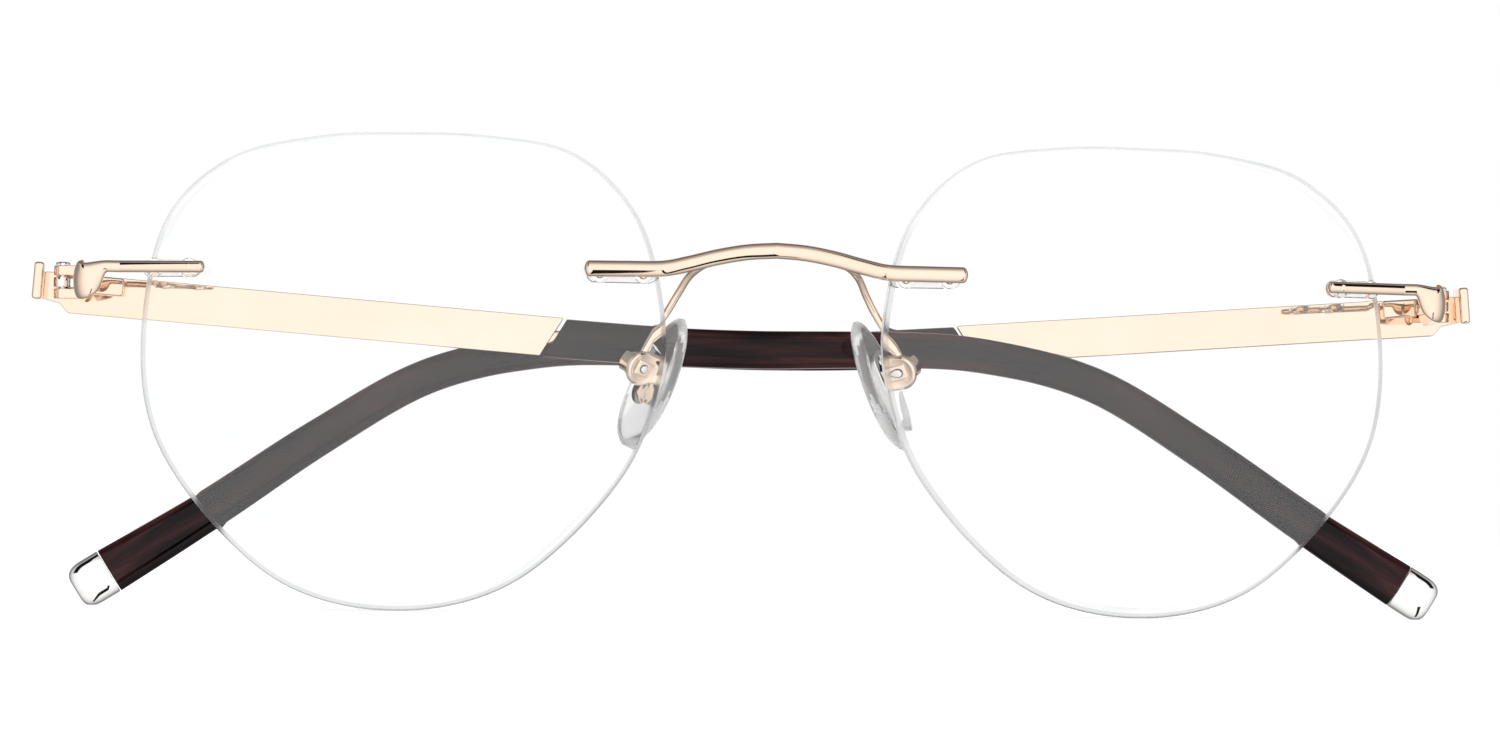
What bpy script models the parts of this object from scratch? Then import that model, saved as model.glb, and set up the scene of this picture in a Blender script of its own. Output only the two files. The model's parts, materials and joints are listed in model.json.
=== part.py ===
"""Rimless eyeglasses, folded: two bare lenses, gold fittings, acetate temple sleeves.

The design is written in millimetres in the front's own frame: x to the wearer's left,
y towards the face, z up, with zero midway between the lenses at their mid height and at
the bridge. place() turns that into metres with the lens bottoms on the ground plane.
"right" and "left" are the wearer's, so right pieces stand at negative x.
"""
import math

import bmesh
import bpy
import numpy
from mathutils import Matrix, Vector

MM = 0.001

# Lenses: width, the gap between them, and the curve and tilt they are mounted with
LENS_WIDTH = 50.0
LENS_BELOW_CENTRE = 22.9
LENS_GAP = 21.8
LENS_THICKNESS = 2.0
LENS_CURVE_RADIUS = 125.0
LENS_WRAP = math.radians(4.0)
LENS_APEX_Y = 1.0
# Lens outline: direction in degrees from the nasal side over the top, and radius
LENS_OUTLINE = [
    (0, 25.1), (18, 26.2), (35, 27.3), (52, 26.8), (70, 24.1), (90, 22.8), (110, 23.8),
    (130, 26.1), (150, 26.4), (180, 24.5), (205, 23.5), (240, 23.1), (270, 22.9),
    (300, 23.0), (335, 23.6),
]

# Lens mounts: two pins on each gold bar, held in the lens by a clear double sleeve
PIN_RADIUS = 0.45
SLEEVE_HOLE_RADIUS = 0.53
SLEEVE_TUBE_RADIUS = 0.85
LENS_HOLE_RADIUS = 0.93
REST_GAP = 0.1
BRIDGE_PIN_X = (12.7, 16.9)
ENDPIECE_PIN_X = (56.0, 59.3)
MOUNT_Z = 9.55

# Bridge bar
BRIDGE_HEIGHT = 1.55
BRIDGE_DEPTH = 1.15
BRIDGE_ROUTE = [(18.5, 9.95), (14.6, 10.0), (10.9, 10.1), (8.4, 10.6), (5.6, 11.3), (2.8, 11.8), (0.0, 12.0)]

# Endpiece and hinge
ENDPIECE_BAR_HEIGHT = 1.15
ENDPIECE_BAR_DEPTH = 1.0
HINGE_X = 68.3
HINGE_Y = 13.5
HINGE_Z = 8.4
ENDPIECE_WALL = ((65.7, 4.9, 6.4), (67.0, HINGE_Y - 1.0, 10.4))
LEAF_RADIUS = 0.9
LEAF_INNER = 0.64
LEAF_OUTER = 1.6
KNUCKLE_HALF = 0.5
SCREW_RADIUS = 0.35
SCREW_HOLE_RADIUS = 0.42

# Temples: how far each lies from square when folded, and how they slope down
TEMPLE_SLOPE = math.radians(4.3)
FOLD_RIGHT = math.radians(-1.2)
FOLD_LEFT = math.radians(1.9)
PLATE_HEIGHT = 3.85
PLATE_INNER_V = 1.0
PLATE_OUTER_V = 1.95
PLATE_CENTRE_W = -0.95
PLATE_END_U = 47.6
JUNCTION_SLANT = 0.53
BOX_U = (2.45, 5.9)
BOX_HALF = 0.88
BOX_SHOULDER_U = (3.45, 3.75)
CAVITY_HALF = 0.6
SPRING_TRAVEL = 0.5
SPRING_END_U = 4.9
# Sleeve centre line beyond the plate, as distance from the hinge and height above it
SLEEVE_ROUTE = [
    (47.8, -4.65), (58.0, -5.25), (68.0, -5.45), (80.0, -5.3), (90.0, -5.75),
    (101.0, -8.4), (111.5, -14.5), (122.5, -22.0), (135.1, -29.95),
]
SLEEVE_TAPER = [(0.0, 3.9), (0.25, 3.75), (0.5, 3.35), (0.68, 3.6), (0.85, 4.0), (0.96, 4.55), (1.0, 4.6)]
SLEEVE_THICKNESS = 2.4
SLEEVE_INWARD = 1.5
CORE_WIDTH = 1.5
CORE_THICKNESS = 0.85
CORE_GAP = 0.12
CAP_LENGTH = 3.8

# Nose pads
PAD_ARM_RADIUS = 0.36
PAD_CENTRE = (11.1, 8.1, -0.6)
PAD_DOWN = (5.5, 1.4, -12.3)
PAD_FACING = (-0.80, 0.52, -0.26)
PAD_LENGTH = 13.6
PAD_WIDTH = 7.3
PAD_THICKNESS = 1.5
PAD_EYE = (0.6, -0.8, -3.0)
CUP_RADIUS = 1.75
PAD_SCREW_RADIUS = 0.38

FOLDED_DEPTH_CENTRE = 9.5
SIDES = {"right": -1, "left": 1}


def place(point):
    """Millimetres in the front's frame to metres above the ground plane."""
    x, y, z = point
    return Vector((x, y - FOLDED_DEPTH_CENTRE, z + LENS_BELOW_CENTRE)) * MM


def clear_scene():
    for item in list(bpy.data.objects):
        bpy.data.objects.remove(item, do_unlink=True)


def make_material(name, colour, roughness, metallic=0.0, alpha=1.0):
    material = bpy.data.materials.new(name)
    material.use_nodes = True
    shader = material.node_tree.nodes["Principled BSDF"]
    shader.inputs["Base Color"].default_value = (*colour, 1.0)
    shader.inputs["Roughness"].default_value = roughness
    shader.inputs["Metallic"].default_value = metallic
    shader.inputs["Alpha"].default_value = alpha
    return material


def curve_through(points, per_span=4, closed=False):
    """Smooth curve that passes through the given points (Catmull-Rom)."""
    points = [numpy.array(point, dtype=float) for point in points]
    count = len(points)
    spans = count if closed else count - 1
    result = []
    for span in range(spans):
        if closed:
            before, start, end, after = [points[(span + step) % count] for step in (-1, 0, 1, 2)]
        else:
            start, end = points[span], points[span + 1]
            before = points[span - 1] if span > 0 else 2 * start - end
            after = points[span + 2] if span + 2 < count else 2 * end - start
        for step in range(per_span):
            t = step / per_span
            result.append(0.5 * (
                2 * start + (end - before) * t
                + (2 * before - 5 * start + 4 * end - after) * t * t
                + (3 * start - before - 3 * end + after) * t ** 3
            ))
    if not closed:
        result.append(points[-1])
    return result


def skin(rings):
    """Solid through rings of points that all have the same count."""
    mesh = bmesh.new()
    loops = [[mesh.verts.new(point) for point in ring] for ring in rings]
    count = len(loops[0])
    for first, second in zip(loops, loops[1:]):
        for index in range(count):
            following = (index + 1) % count
            mesh.faces.new((first[index], first[following], second[following], second[index]))
    mesh.faces.new(loops[0])
    mesh.faces.new(loops[-1])
    bmesh.ops.recalc_face_normals(mesh, faces=mesh.faces)
    return mesh


def oval(half_width, half_height, sides=16, squareness=2.0):
    """Points of an oval; a squareness above 2 fills out its corners."""
    points = []
    for index in range(sides):
        angle = 2 * math.pi * (index + 0.5) / sides
        cosine, sine = math.cos(angle), math.sin(angle)
        points.append((
            half_width * math.copysign(abs(cosine) ** (2 / squareness), cosine),
            half_height * math.copysign(abs(sine) ** (2 / squareness), sine),
        ))
    return points


def sweep(route, profile_at, up):
    """Rings of profile points carried along a route of 3-D points."""
    route = [Vector(point) for point in route]
    rings = []
    for index, point in enumerate(route):
        ahead = route[min(index + 1, len(route) - 1)] - route[max(index - 1, 0)]
        ahead.normalize()
        across = ahead.cross(Vector(up)).normalized()
        over = across.cross(ahead).normalized()
        share = index / (len(route) - 1)
        rings.append([point + across * a + over * b for a, b in profile_at(share)])
    return rings


def box(low, high, bevel=0.0):
    mesh = bmesh.new()
    bmesh.ops.create_cube(mesh, size=1.0)
    low, high = Vector(low), Vector(high)
    size = high - low
    for vertex in mesh.verts:
        vertex.co = Vector([low[i] + (vertex.co[i] + 0.5) * size[i] for i in range(3)])
    if bevel:
        bmesh.ops.bevel(
            mesh, geom=mesh.edges[:], offset=bevel, segments=2, profile=0.5, affect="EDGES"
        )
    return mesh


def cylinder(start, end, radius, sides=20, end_radius=None):
    start, end = Vector(start), Vector(end)
    direction = end - start
    mesh = bmesh.new()
    bmesh.ops.create_cone(
        mesh, cap_ends=True, segments=sides, radius1=radius,
        radius2=radius if end_radius is None else end_radius, depth=direction.length,
    )
    turn = direction.to_track_quat("Z", "Y").to_matrix().to_4x4()
    mesh.transform(Matrix.Translation((start + end) / 2) @ turn)
    return mesh


def as_object(mesh):
    data = bpy.data.meshes.new("shape")
    mesh.to_mesh(data)
    mesh.free()
    item = bpy.data.objects.new("shape", data)
    bpy.context.scene.collection.objects.link(item)
    return item


def combine(base, others, operation):
    """Boolean of one shape with several others, as a new shape."""
    for other in others:
        target, tool = as_object(base), as_object(other)
        modifier = target.modifiers.new(operation, "BOOLEAN")
        modifier.object = tool
        modifier.operation = operation
        modifier.solver = "EXACT"
        graph = bpy.context.evaluated_depsgraph_get()
        result = bpy.data.meshes.new_from_object(target.evaluated_get(graph))
        base = bmesh.new()
        base.from_mesh(result)
        bpy.data.objects.remove(target, do_unlink=True)
        bpy.data.objects.remove(tool, do_unlink=True)
    return base


def joined(base, *others):
    return combine(base, others, "UNION")


def cut(base, *others):
    return combine(base, others, "DIFFERENCE")


def finish(name, mesh, material, origin=(0.0, 0.0, 0.0), matrix=None):
    """Name a finished shape, move it into the world and put its origin on its axis."""
    if matrix is not None:
        mesh.transform(matrix)
        if matrix.to_3x3().determinant() < 0:
            bmesh.ops.reverse_faces(mesh, faces=mesh.faces)
    world_origin = place(origin)
    for vertex in mesh.verts:
        vertex.co = place(vertex.co) - world_origin
    bmesh.ops.triangulate(mesh, faces=mesh.faces)
    item = as_object(mesh)
    item.name = name
    item.data.name = name
    item.location = world_origin
    item.data.materials.append(material)
    item.data.shade_smooth()
    item.data.set_sharp_from_angle(angle=math.radians(35))
    return item


def side_matrix(side):
    """Outboard millimetres (x away from the nose) to the wearer's right or left."""
    return Matrix.Diagonal((side, 1.0, 1.0, 1.0))


def hinge_point(side):
    return (side * HINGE_X, HINGE_Y, HINGE_Z)


def temple_matrix(side, sloped=True):
    """Temple millimetres (u along the temple, v outwards, w up) to the folded place."""
    fold = FOLD_RIGHT if side < 0 else FOLD_LEFT
    slope = Matrix.Rotation(TEMPLE_SLOPE if sloped else 0.0, 4, "Y")
    turned = Matrix.Rotation(fold, 4, "Z") @ slope
    return Matrix.Translation(hinge_point(side)) @ Matrix.Diagonal((-side, 1, 1, 1)) @ turned


def lens_centre_x():
    return (LENS_GAP + LENS_WIDTH) / 2


def lens_front_y(x, z):
    """Front surface of the lens at an outboard x and a height."""
    out = x - lens_centre_x()
    return LENS_APEX_Y + out * math.tan(LENS_WRAP) + (out * out + z * z) / (2 * LENS_CURVE_RADIUS)


def make_lens(name, side, material):
    points = []
    for degrees, radius in LENS_OUTLINE:
        angle = math.radians(degrees)
        points.append((-radius * math.cos(angle), radius * math.sin(angle)))
    outline = curve_through(points, per_span=5, closed=True)
    rings = []
    shares = [0.04, 0.35, 0.7, 1.0]
    for depth, order in ((0.0, shares), (LENS_THICKNESS, shares[::-1])):
        for share in order:
            ring = []
            for out, z in outline:
                x = lens_centre_x() + out * share
                ring.append((x, lens_front_y(x, z * share) + depth, z * share))
            rings.append(ring)
    lens = skin(rings)
    holes = []
    for x in BRIDGE_PIN_X + ENDPIECE_PIN_X:
        y = lens_front_y(x, MOUNT_Z)
        holes.append(cylinder((x, y - 2, MOUNT_Z), (x, y + 4, MOUNT_Z), LENS_HOLE_RADIUS))
    finish(name, cut(lens, *holes), material, matrix=side_matrix(side))


def make_double_sleeve(name, side, pin_places, material):
    """Clear strip behind the lens with two tubes that line the lens's holes."""
    first, last = pin_places
    middle = (first + last) / 2
    back = lens_front_y(middle, MOUNT_Z) + LENS_THICKNESS
    rise = lens_front_y(last, MOUNT_Z) - lens_front_y(first, MOUNT_Z)
    tilt = math.atan2(rise, last - first)
    half_length = (last - first) / 2 + 1.25
    strip = box((-half_length, 0.22, -0.95), (half_length, 0.7, 0.95), bevel=0.14)
    turn = Matrix.Translation((middle, back, MOUNT_Z)) @ Matrix.Rotation(tilt, 4, "Z")
    strip.transform(turn)
    tubes = []
    bores = []
    for x in pin_places:
        front = lens_front_y(x, MOUNT_Z)
        tubes.append(cylinder((x, front + 0.15, MOUNT_Z), (x, front + 2.3, MOUNT_Z), SLEEVE_TUBE_RADIUS))
        bores.append(cylinder((x, front - 1, MOUNT_Z), (x, front + 4, MOUNT_Z), SLEEVE_HOLE_RADIUS, sides=16))
    sleeve = cut(joined(strip, *tubes), *bores)
    finish(name, sleeve, material, matrix=side_matrix(side))


def mount_pins(pin_places, bar_depth):
    pins = []
    for x in pin_places:
        front = lens_front_y(x, MOUNT_Z)
        start = front - REST_GAP - bar_depth / 2
        pins.append(cylinder((x, start, MOUNT_Z), (x, front + LENS_THICKNESS + 0.7, MOUNT_Z), PIN_RADIUS, 14))
    return pins


def bar_profile(height, depth, sides=14):
    return oval(depth / 2, height / 2, sides, squareness=2.4)


def make_bridge(material):
    half = []
    for x, z in curve_through(BRIDGE_ROUTE, per_span=3):
        resting = lens_front_y(max(x, 10.9), MOUNT_Z) - REST_GAP - BRIDGE_DEPTH / 2
        freed = max(0.0, 1 - x / 10.9)
        half.append(Vector((x, resting - 0.9 * freed, z)))
    route = half + [Vector((-point.x, point.y, point.z)) for point in half[-2::-1]]
    profile = bar_profile(BRIDGE_HEIGHT, BRIDGE_DEPTH)

    def rounded(share):
        distance = min(share, 1 - share) * len(route)
        scale = 0.55 if distance < 0.5 else 1.0
        return [(a * scale, b * scale) for a, b in profile]

    bar = skin(sweep(route, rounded, (0, 0, 1)))
    pins = mount_pins(BRIDGE_PIN_X, BRIDGE_DEPTH)
    mirrored = mount_pins(BRIDGE_PIN_X, BRIDGE_DEPTH)
    for pin in mirrored:
        pin.transform(side_matrix(-1))
        bmesh.ops.reverse_faces(pin, faces=pin.faces)
    finish("bridge", joined(bar, *pins, *mirrored), material)


def leaf(low, high):
    """Hinge leaf: from inside the endpiece wall to a round eye on the hinge axis."""
    offsets = [(-2.0, -0.45), (-2.1, -1.1), (-2.1, -2.0), (-1.45, -2.0), (-1.45, -1.25), (0.3, -1.25), (0.8, -0.7)]
    for step in range(13):
        angle = math.pi * step / 12
        offsets.append((LEAF_RADIUS * math.cos(angle), LEAF_RADIUS * math.sin(angle)))
    rings = []
    for z in (HINGE_Z + low, HINGE_Z + high):
        rings.append([(HINGE_X + x, HINGE_Y + y, z) for x, y in offsets])
    return skin(rings)


def make_endpiece(name, side, material):
    wall_low, wall_high = ENDPIECE_WALL
    route = []
    for x in (54.2, 54.5, 56.5, 58.5, 60.5, 62.5, 64.5, 66.3):
        z = MOUNT_Z + 0.05 - 0.25 * max(0.0, (x - 60.5) / 5)
        y = lens_front_y(min(x, 62.5), MOUNT_Z) - REST_GAP - ENDPIECE_BAR_DEPTH / 2
        route.append((x, y, z))
    profile = bar_profile(ENDPIECE_BAR_HEIGHT, ENDPIECE_BAR_DEPTH)

    def grown(share):
        scale = 0.55 if share == 0 else 1.0 + 0.35 * max(0.0, share - 0.6)
        return [(a * min(scale, 1.0), b * scale) for a, b in profile]

    bar = skin(sweep(route, grown, (0, 0, 1)))
    wall = box(wall_low, wall_high, bevel=0.3)
    leaves = [leaf(LEAF_INNER, LEAF_OUTER), leaf(-LEAF_OUTER, -LEAF_INNER)]
    solid = joined(bar, wall, *leaves, *mount_pins(ENDPIECE_PIN_X, ENDPIECE_BAR_DEPTH))
    bore = cylinder((HINGE_X, HINGE_Y, HINGE_Z - 3), (HINGE_X, HINGE_Y, HINGE_Z + 3), SCREW_HOLE_RADIUS)
    finish(name, cut(solid, bore), material, matrix=side_matrix(side))


def make_hinge_screw(name, side, material):
    top = HINGE_Z + LEAF_OUTER + REST_GAP
    base = (HINGE_X, HINGE_Y)
    shaft = cylinder((*base, HINGE_Z - LEAF_OUTER), (*base, top + 0.1), SCREW_RADIUS, 16)
    head = cylinder((*base, top), (*base, top + 0.3), 0.72, 20, end_radius=0.62)
    slot = box((HINGE_X - 1, HINGE_Y - 0.1, top + 0.16), (HINGE_X + 1, HINGE_Y + 0.1, top + 0.6))
    screw = cut(joined(shaft, head), slot)
    finish(name, screw, material, hinge_point(side), side_matrix(side))


def make_slider(name, side, material):
    """Middle knuckle with a neck, rod and head that run inside the spring box."""
    knuckle = cylinder((0, 0, -KNUCKLE_HALF), (0, 0, KNUCKLE_HALF), LEAF_RADIUS)
    neck = box((0.3, -0.45, -0.42), (BOX_SHOULDER_U[0] - 0.15, 0.45, 0.42), bevel=0.06)
    rod = cylinder((3.0, 0, 0), (SPRING_END_U + 0.2, 0, 0), 0.2, 10)
    head = cylinder((SPRING_END_U + 0.05, 0, 0), (SPRING_END_U + 0.3, 0, 0), 0.48, 12)
    sloped = Matrix.Rotation(TEMPLE_SLOPE, 4, "Y")
    for piece in (neck, rod, head):
        piece.transform(sloped)
    solid = joined(knuckle, neck, rod, head)
    bore = cylinder((0, 0, -2), (0, 0, 2), SCREW_HOLE_RADIUS)
    finish(name, cut(solid, bore), material, hinge_point(side), temple_matrix(side, sloped=False))


def make_spring(name, side, material):
    """Coil spring round the rod, drawn pressed so that the box can travel up to it."""
    turns = 4
    steps = turns * 10
    start = BOX_SHOULDER_U[1] + SPRING_TRAVEL + 0.1
    route = []
    for step in range(steps + 1):
        angle = 2 * math.pi * step / 10
        along = start + (SPRING_END_U - 0.06 - start) * step / steps
        route.append((along, 0.38 * math.cos(angle), 0.38 * math.sin(angle)))
    wire = oval(0.055, 0.055, 4)
    spring = skin(sweep(route, lambda share: wire, (1, 0, 0)))
    finish(name, spring, material, hinge_point(side), temple_matrix(side))


def make_spring_box(name, side, material):
    """Box on the temple: a mouth for the neck, a shoulder and a chamber for the spring."""
    start, end = BOX_U
    near, far = BOX_SHOULDER_U
    body = box((start, -BOX_HALF, -BOX_HALF), (end, BOX_HALF, BOX_HALF), bevel=0.2)
    mouth = box((start - 1, -CAVITY_HALF, -CAVITY_HALF), (near, CAVITY_HALF, CAVITY_HALF))
    chamber = box((far, -CAVITY_HALF, -CAVITY_HALF), (end - 0.3, CAVITY_HALF, CAVITY_HALF))
    passage = cylinder((near - 0.2, 0, 0), (far + 0.2, 0, 0), 0.3, 12)
    solid = cut(body, mouth, chamber, passage)
    finish(name, solid, material, hinge_point(side), temple_matrix(side))


def sleeve_route():
    """Centre line from the plate to the tip, bending inwards towards the tip."""
    level = curve_through(SLEEVE_ROUTE, per_span=4)
    length = level[-1][0] - level[0][0]
    outward = (PLATE_INNER_V + PLATE_OUTER_V) / 2
    unsloped = Matrix.Rotation(-TEMPLE_SLOPE, 3, "Y")
    route = []
    for u, w in level:
        share = (u - level[0][0]) / length
        route.append(unsloped @ Vector((u, outward - SLEEVE_INWARD * share ** 2, w)))
    return route


def sleeve_height(share):
    return float(numpy.interp(share, *zip(*SLEEVE_TAPER)))


def slanted(rings, centre_route, reach=5.0):
    """Lean the first rings to match the plate's slanted end."""
    start = Vector(centre_route[0])
    for ring, centre in zip(rings, centre_route):
        fade = max(0.0, 1 - (Vector(centre) - start).length / reach)
        for point in ring:
            point.x += JUNCTION_SLANT * (point.z - centre[2]) * fade
    return rings


def cap_start_index(route):
    """First route point within a cap's length of the tip."""
    for index, point in enumerate(route):
        if (Vector(route[-1]) - Vector(point)).length <= CAP_LENGTH:
            return index
    return len(route) - 1


def split_route():
    """Sleeve route up to the cap, and the cap's own route."""
    route = sleeve_route()
    index = cap_start_index(route)
    direction = (route[-1] - route[index - 1]).normalized()
    seam = route[-1] - direction * CAP_LENGTH
    return route[:index] + [seam], [seam + direction * REST_GAP, route[-1]]


def make_temple_sleeve(name, side, material):
    route, _ = split_route()

    def outer(share):
        return oval(SLEEVE_THICKNESS / 2, sleeve_height(share * 0.96) / 2, 16, squareness=2.8)

    rings = slanted(sweep(route, outer, (0, 0, 1)), route)
    core_route = route[:-6]
    bore = oval(CORE_THICKNESS / 2 + CORE_GAP, CORE_WIDTH / 2 + CORE_GAP, 16, squareness=2.8)
    inner = slanted(sweep(core_route, lambda share: bore, (0, 0, 1)), core_route)
    sleeve = skin(inner[::-1] + rings)
    finish(name, sleeve, material, hinge_point(side), temple_matrix(side))


def make_temple_plate(name, side, material):
    """Flat gold temple with its closing flange and the core wire inside the sleeve."""
    top = PLATE_CENTRE_W + PLATE_HEIGHT / 2
    bottom = PLATE_CENTRE_W - PLATE_HEIGHT / 2
    end_top = PLATE_END_U + JUNCTION_SLANT * PLATE_HEIGHT / 2
    end_bottom = PLATE_END_U - JUNCTION_SLANT * PLATE_HEIGHT / 2
    outline = [(-1.9, top), (-1.9, -1.7), (-0.2, -2.0), (0.6, bottom), (end_bottom, bottom), (end_top, top)]
    plate = skin([[(u, v, w) for u, w in outline] for v in (PLATE_INNER_V, PLATE_OUTER_V)])
    bmesh.ops.bevel(plate, geom=plate.edges[:], offset=0.16, segments=2, profile=0.5, affect="EDGES")
    flange = box((-2.8, -1.15, -1.85), (-1.85, PLATE_OUTER_V, 1.75), bevel=0.25)
    route, _ = split_route()
    core_route = [route[0] - Vector((1.2, 0, 0))] + route[:-7]
    core_profile = oval(CORE_THICKNESS / 2, CORE_WIDTH / 2, 12, squareness=2.8)
    core = skin(sweep(core_route, lambda share: core_profile, (0, 0, 1)))
    solid = joined(plate, flange, core)
    finish(name, solid, material, hinge_point(side), temple_matrix(side))


def make_tip_cap(name, side, material):
    _, (start, end) = split_route()
    share_scale = [(0.0, 1.0), (0.55, 0.99), (0.78, 0.93), (0.92, 0.76), (1.0, 0.5)]
    route = [start.lerp(end, share) for share, _ in share_scale]
    scales = dict(enumerate(scale for _, scale in share_scale))
    last = len(route) - 1

    def shrinking(share):
        scale = scales[round(share * last)]
        return oval(SLEEVE_THICKNESS / 2 * scale, sleeve_height(1.0) / 2 * scale, 16, squareness=2.8)

    finish(name, skin(sweep(route, shrinking, (0, 0, 1))), material, hinge_point(side), temple_matrix(side))


def pad_frame():
    """Axes of the nose pad: along it, across it and out of its bearing face."""
    down = Vector(PAD_DOWN).normalized()
    facing = Vector(PAD_FACING)
    facing = (facing - down * facing.dot(down)).normalized()
    return down, facing.cross(down).normalized(), facing


def make_nose_pad(name, side, material):
    """Clear teardrop pad, crowned on the face that touches the nose."""
    down, across, facing = pad_frame()
    centre = Vector(PAD_CENTRE)
    rings = []
    for height, scale in ((-0.5, 0.82), (-0.3, 0.97), (0.0, 1.0), (0.3, 0.9), (0.45, 0.62), (0.5, 0.25)):
        ring = []
        for step in range(24):
            angle = 2 * math.pi * step / 24
            along = PAD_LENGTH / 2 * math.cos(angle)
            width = PAD_WIDTH / 2 * math.sin(angle) * (0.86 + 0.14 * math.cos(angle))
            ring.append(
                centre + down * along * scale + across * width * scale + facing * height * PAD_THICKNESS
            )
        rings.append(ring)
    finish(name, skin(rings), material, pad_axis(side), side_matrix(side))


def pad_axis(side):
    """Middle of the pad screw, about which the pad rocks."""
    down, across, facing = pad_frame()
    offset = across * PAD_EYE[0] + down * PAD_EYE[1] + facing * PAD_EYE[2]
    x, y, z = Vector(PAD_CENTRE) + offset
    return (side * x, y, z)


def pad_matrix(side, centre):
    """Pad millimetres (across, down, facing) to the world, from a centre point."""
    down, across, facing = pad_frame()
    turn = Matrix((across, down, facing)).transposed().to_4x4()
    return side_matrix(side) @ Matrix.Translation(centre) @ turn


def make_pad_insert(name, side, material):
    """Plate on the pad's outer face with a lug that the pad screw passes through."""
    back = -PAD_THICKNESS / 2 - REST_GAP
    eye = Vector(PAD_EYE)
    plate = box((-1.5, -3.4, back - 0.25), (1.5, 2.6, back), bevel=0.1)
    window = box((-0.55, -2.9, back - 1), (0.55, -1.9, back + 1))
    lug = box((eye.x - 0.38, eye.y - 0.6, eye.z), (eye.x + 0.38, eye.y + 0.6, back - 0.1))
    knob = cylinder(eye - Vector((0.38, 0, 0)), eye + Vector((0.38, 0, 0)), 0.85, 20)
    bore = cylinder(eye - Vector((3, 0, 0)), eye + Vector((3, 0, 0)), PAD_SCREW_RADIUS + 0.07, 16)
    insert = cut(joined(plate, lug, knob), window, bore)
    finish(name, insert, material, pad_axis(side), pad_matrix(side, PAD_CENTRE))


def make_pad_box(name, side, material):
    """Round cup whose two cheeks hold the pad's lug between them."""
    front = cylinder((0.48, 0, 0), (1.0, 0, 0), CUP_RADIUS, 24, end_radius=CUP_RADIUS * 0.86)
    rear = cylinder((-1.0, 0, 0), (-0.48, 0, 0), CUP_RADIUS * 0.7, 20)
    web = box((-0.95, -0.95, -CUP_RADIUS + 0.1), (0.9, 0.95, -1.0), bevel=0.1)
    bore = cylinder((-3, 0, 0), (3, 0, 0), PAD_SCREW_RADIUS + 0.07, 16)
    solid = cut(joined(front, web, rear), bore)
    finish(name, solid, material, pad_axis(side), pad_matrix(side, pad_axis(1)))


def make_pad_screw(name, side, material):
    shaft = cylinder((-1.2, 0, 0), (1.2, 0, 0), PAD_SCREW_RADIUS, 14)
    head = cylinder((-1.4, 0, 0), (-1.08, 0, 0), 0.65, 16)
    slot = box((-1.8, -1, -0.09), (-1.26, 1, 0.09))
    screw = cut(joined(shaft, head), slot)
    finish(name, screw, material, pad_axis(side), pad_matrix(side, pad_axis(1)))


def make_pad_arm(name, side, material):
    x, y, z = pad_axis(1)
    route = curve_through([
        (7.2, 1.75, 9.95), (8.0, 3.1, 9.0), (9.1, 4.4, 8.0), (10.0, 5.0, 6.4), (11.3, 5.1, 4.3),
        (x - 0.4, y - 1.1, z + 2.2),
    ], per_span=4)
    wire = oval(PAD_ARM_RADIUS, PAD_ARM_RADIUS, 10)
    arm = skin(sweep(route, lambda share: wire, (1, 0, 0)))
    finish(name, arm, material, matrix=side_matrix(side))


def build():
    clear_scene()
    gold = make_material("gold", (0.84, 0.64, 0.44), 0.22, metallic=1.0)
    steel = make_material("steel", (0.72, 0.72, 0.74), 0.25, metallic=1.0)
    lens_clear = make_material("lens", (0.93, 0.95, 0.96), 0.03, alpha=0.3)
    clear_plastic = make_material("clear_plastic", (0.88, 0.88, 0.86), 0.2, alpha=0.6)
    silicone = make_material("silicone", (0.86, 0.85, 0.83), 0.35, alpha=0.6)
    tortoise = make_material("tortoise", (0.055, 0.028, 0.024), 0.15)
    make_bridge(gold)
    for word, side in SIDES.items():
        make_lens(f"lens_{word}", side, lens_clear)
        make_double_sleeve(f"bridge_sleeve_{word}", side, BRIDGE_PIN_X, clear_plastic)
        make_double_sleeve(f"endpiece_sleeve_{word}", side, ENDPIECE_PIN_X, clear_plastic)
        make_endpiece(f"endpiece_{word}", side, gold)
        make_hinge_screw(f"hinge_screw_{word}", side, steel)
        make_slider(f"hinge_slider_{word}", side, steel)
        make_spring(f"hinge_spring_{word}", side, steel)
        make_spring_box(f"spring_box_{word}", side, gold)
        make_temple_plate(f"temple_plate_{word}", side, gold)
        make_temple_sleeve(f"temple_sleeve_{word}", side, tortoise)
        make_tip_cap(f"tip_cap_{word}", side, steel)
        make_pad_arm(f"pad_arm_{word}", side, gold)
        make_pad_box(f"pad_box_{word}", side, gold)
        make_pad_screw(f"pad_screw_{word}", side, steel)
        make_pad_insert(f"pad_insert_{word}", side, steel)
        make_nose_pad(f"nose_pad_{word}", side, silicone)


build()
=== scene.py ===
# %% [markdown]
# # Rimless eyeglasses, folded
# Two bare lenses are held by gold bars that are pinned straight through the glass. The packed
# working model gives every size and joint; this script gives each piece its finished shape
# and surface. Loading the working model comes first, because every piece rides on one of
# its bodies and keeps close to the box of the shape that it replaces.

# %% Load the working model
import json
import math

import bmesh
import bpy
import numpy
from mathutils import Matrix, Vector
from mathutils.kdtree import KDTree


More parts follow.
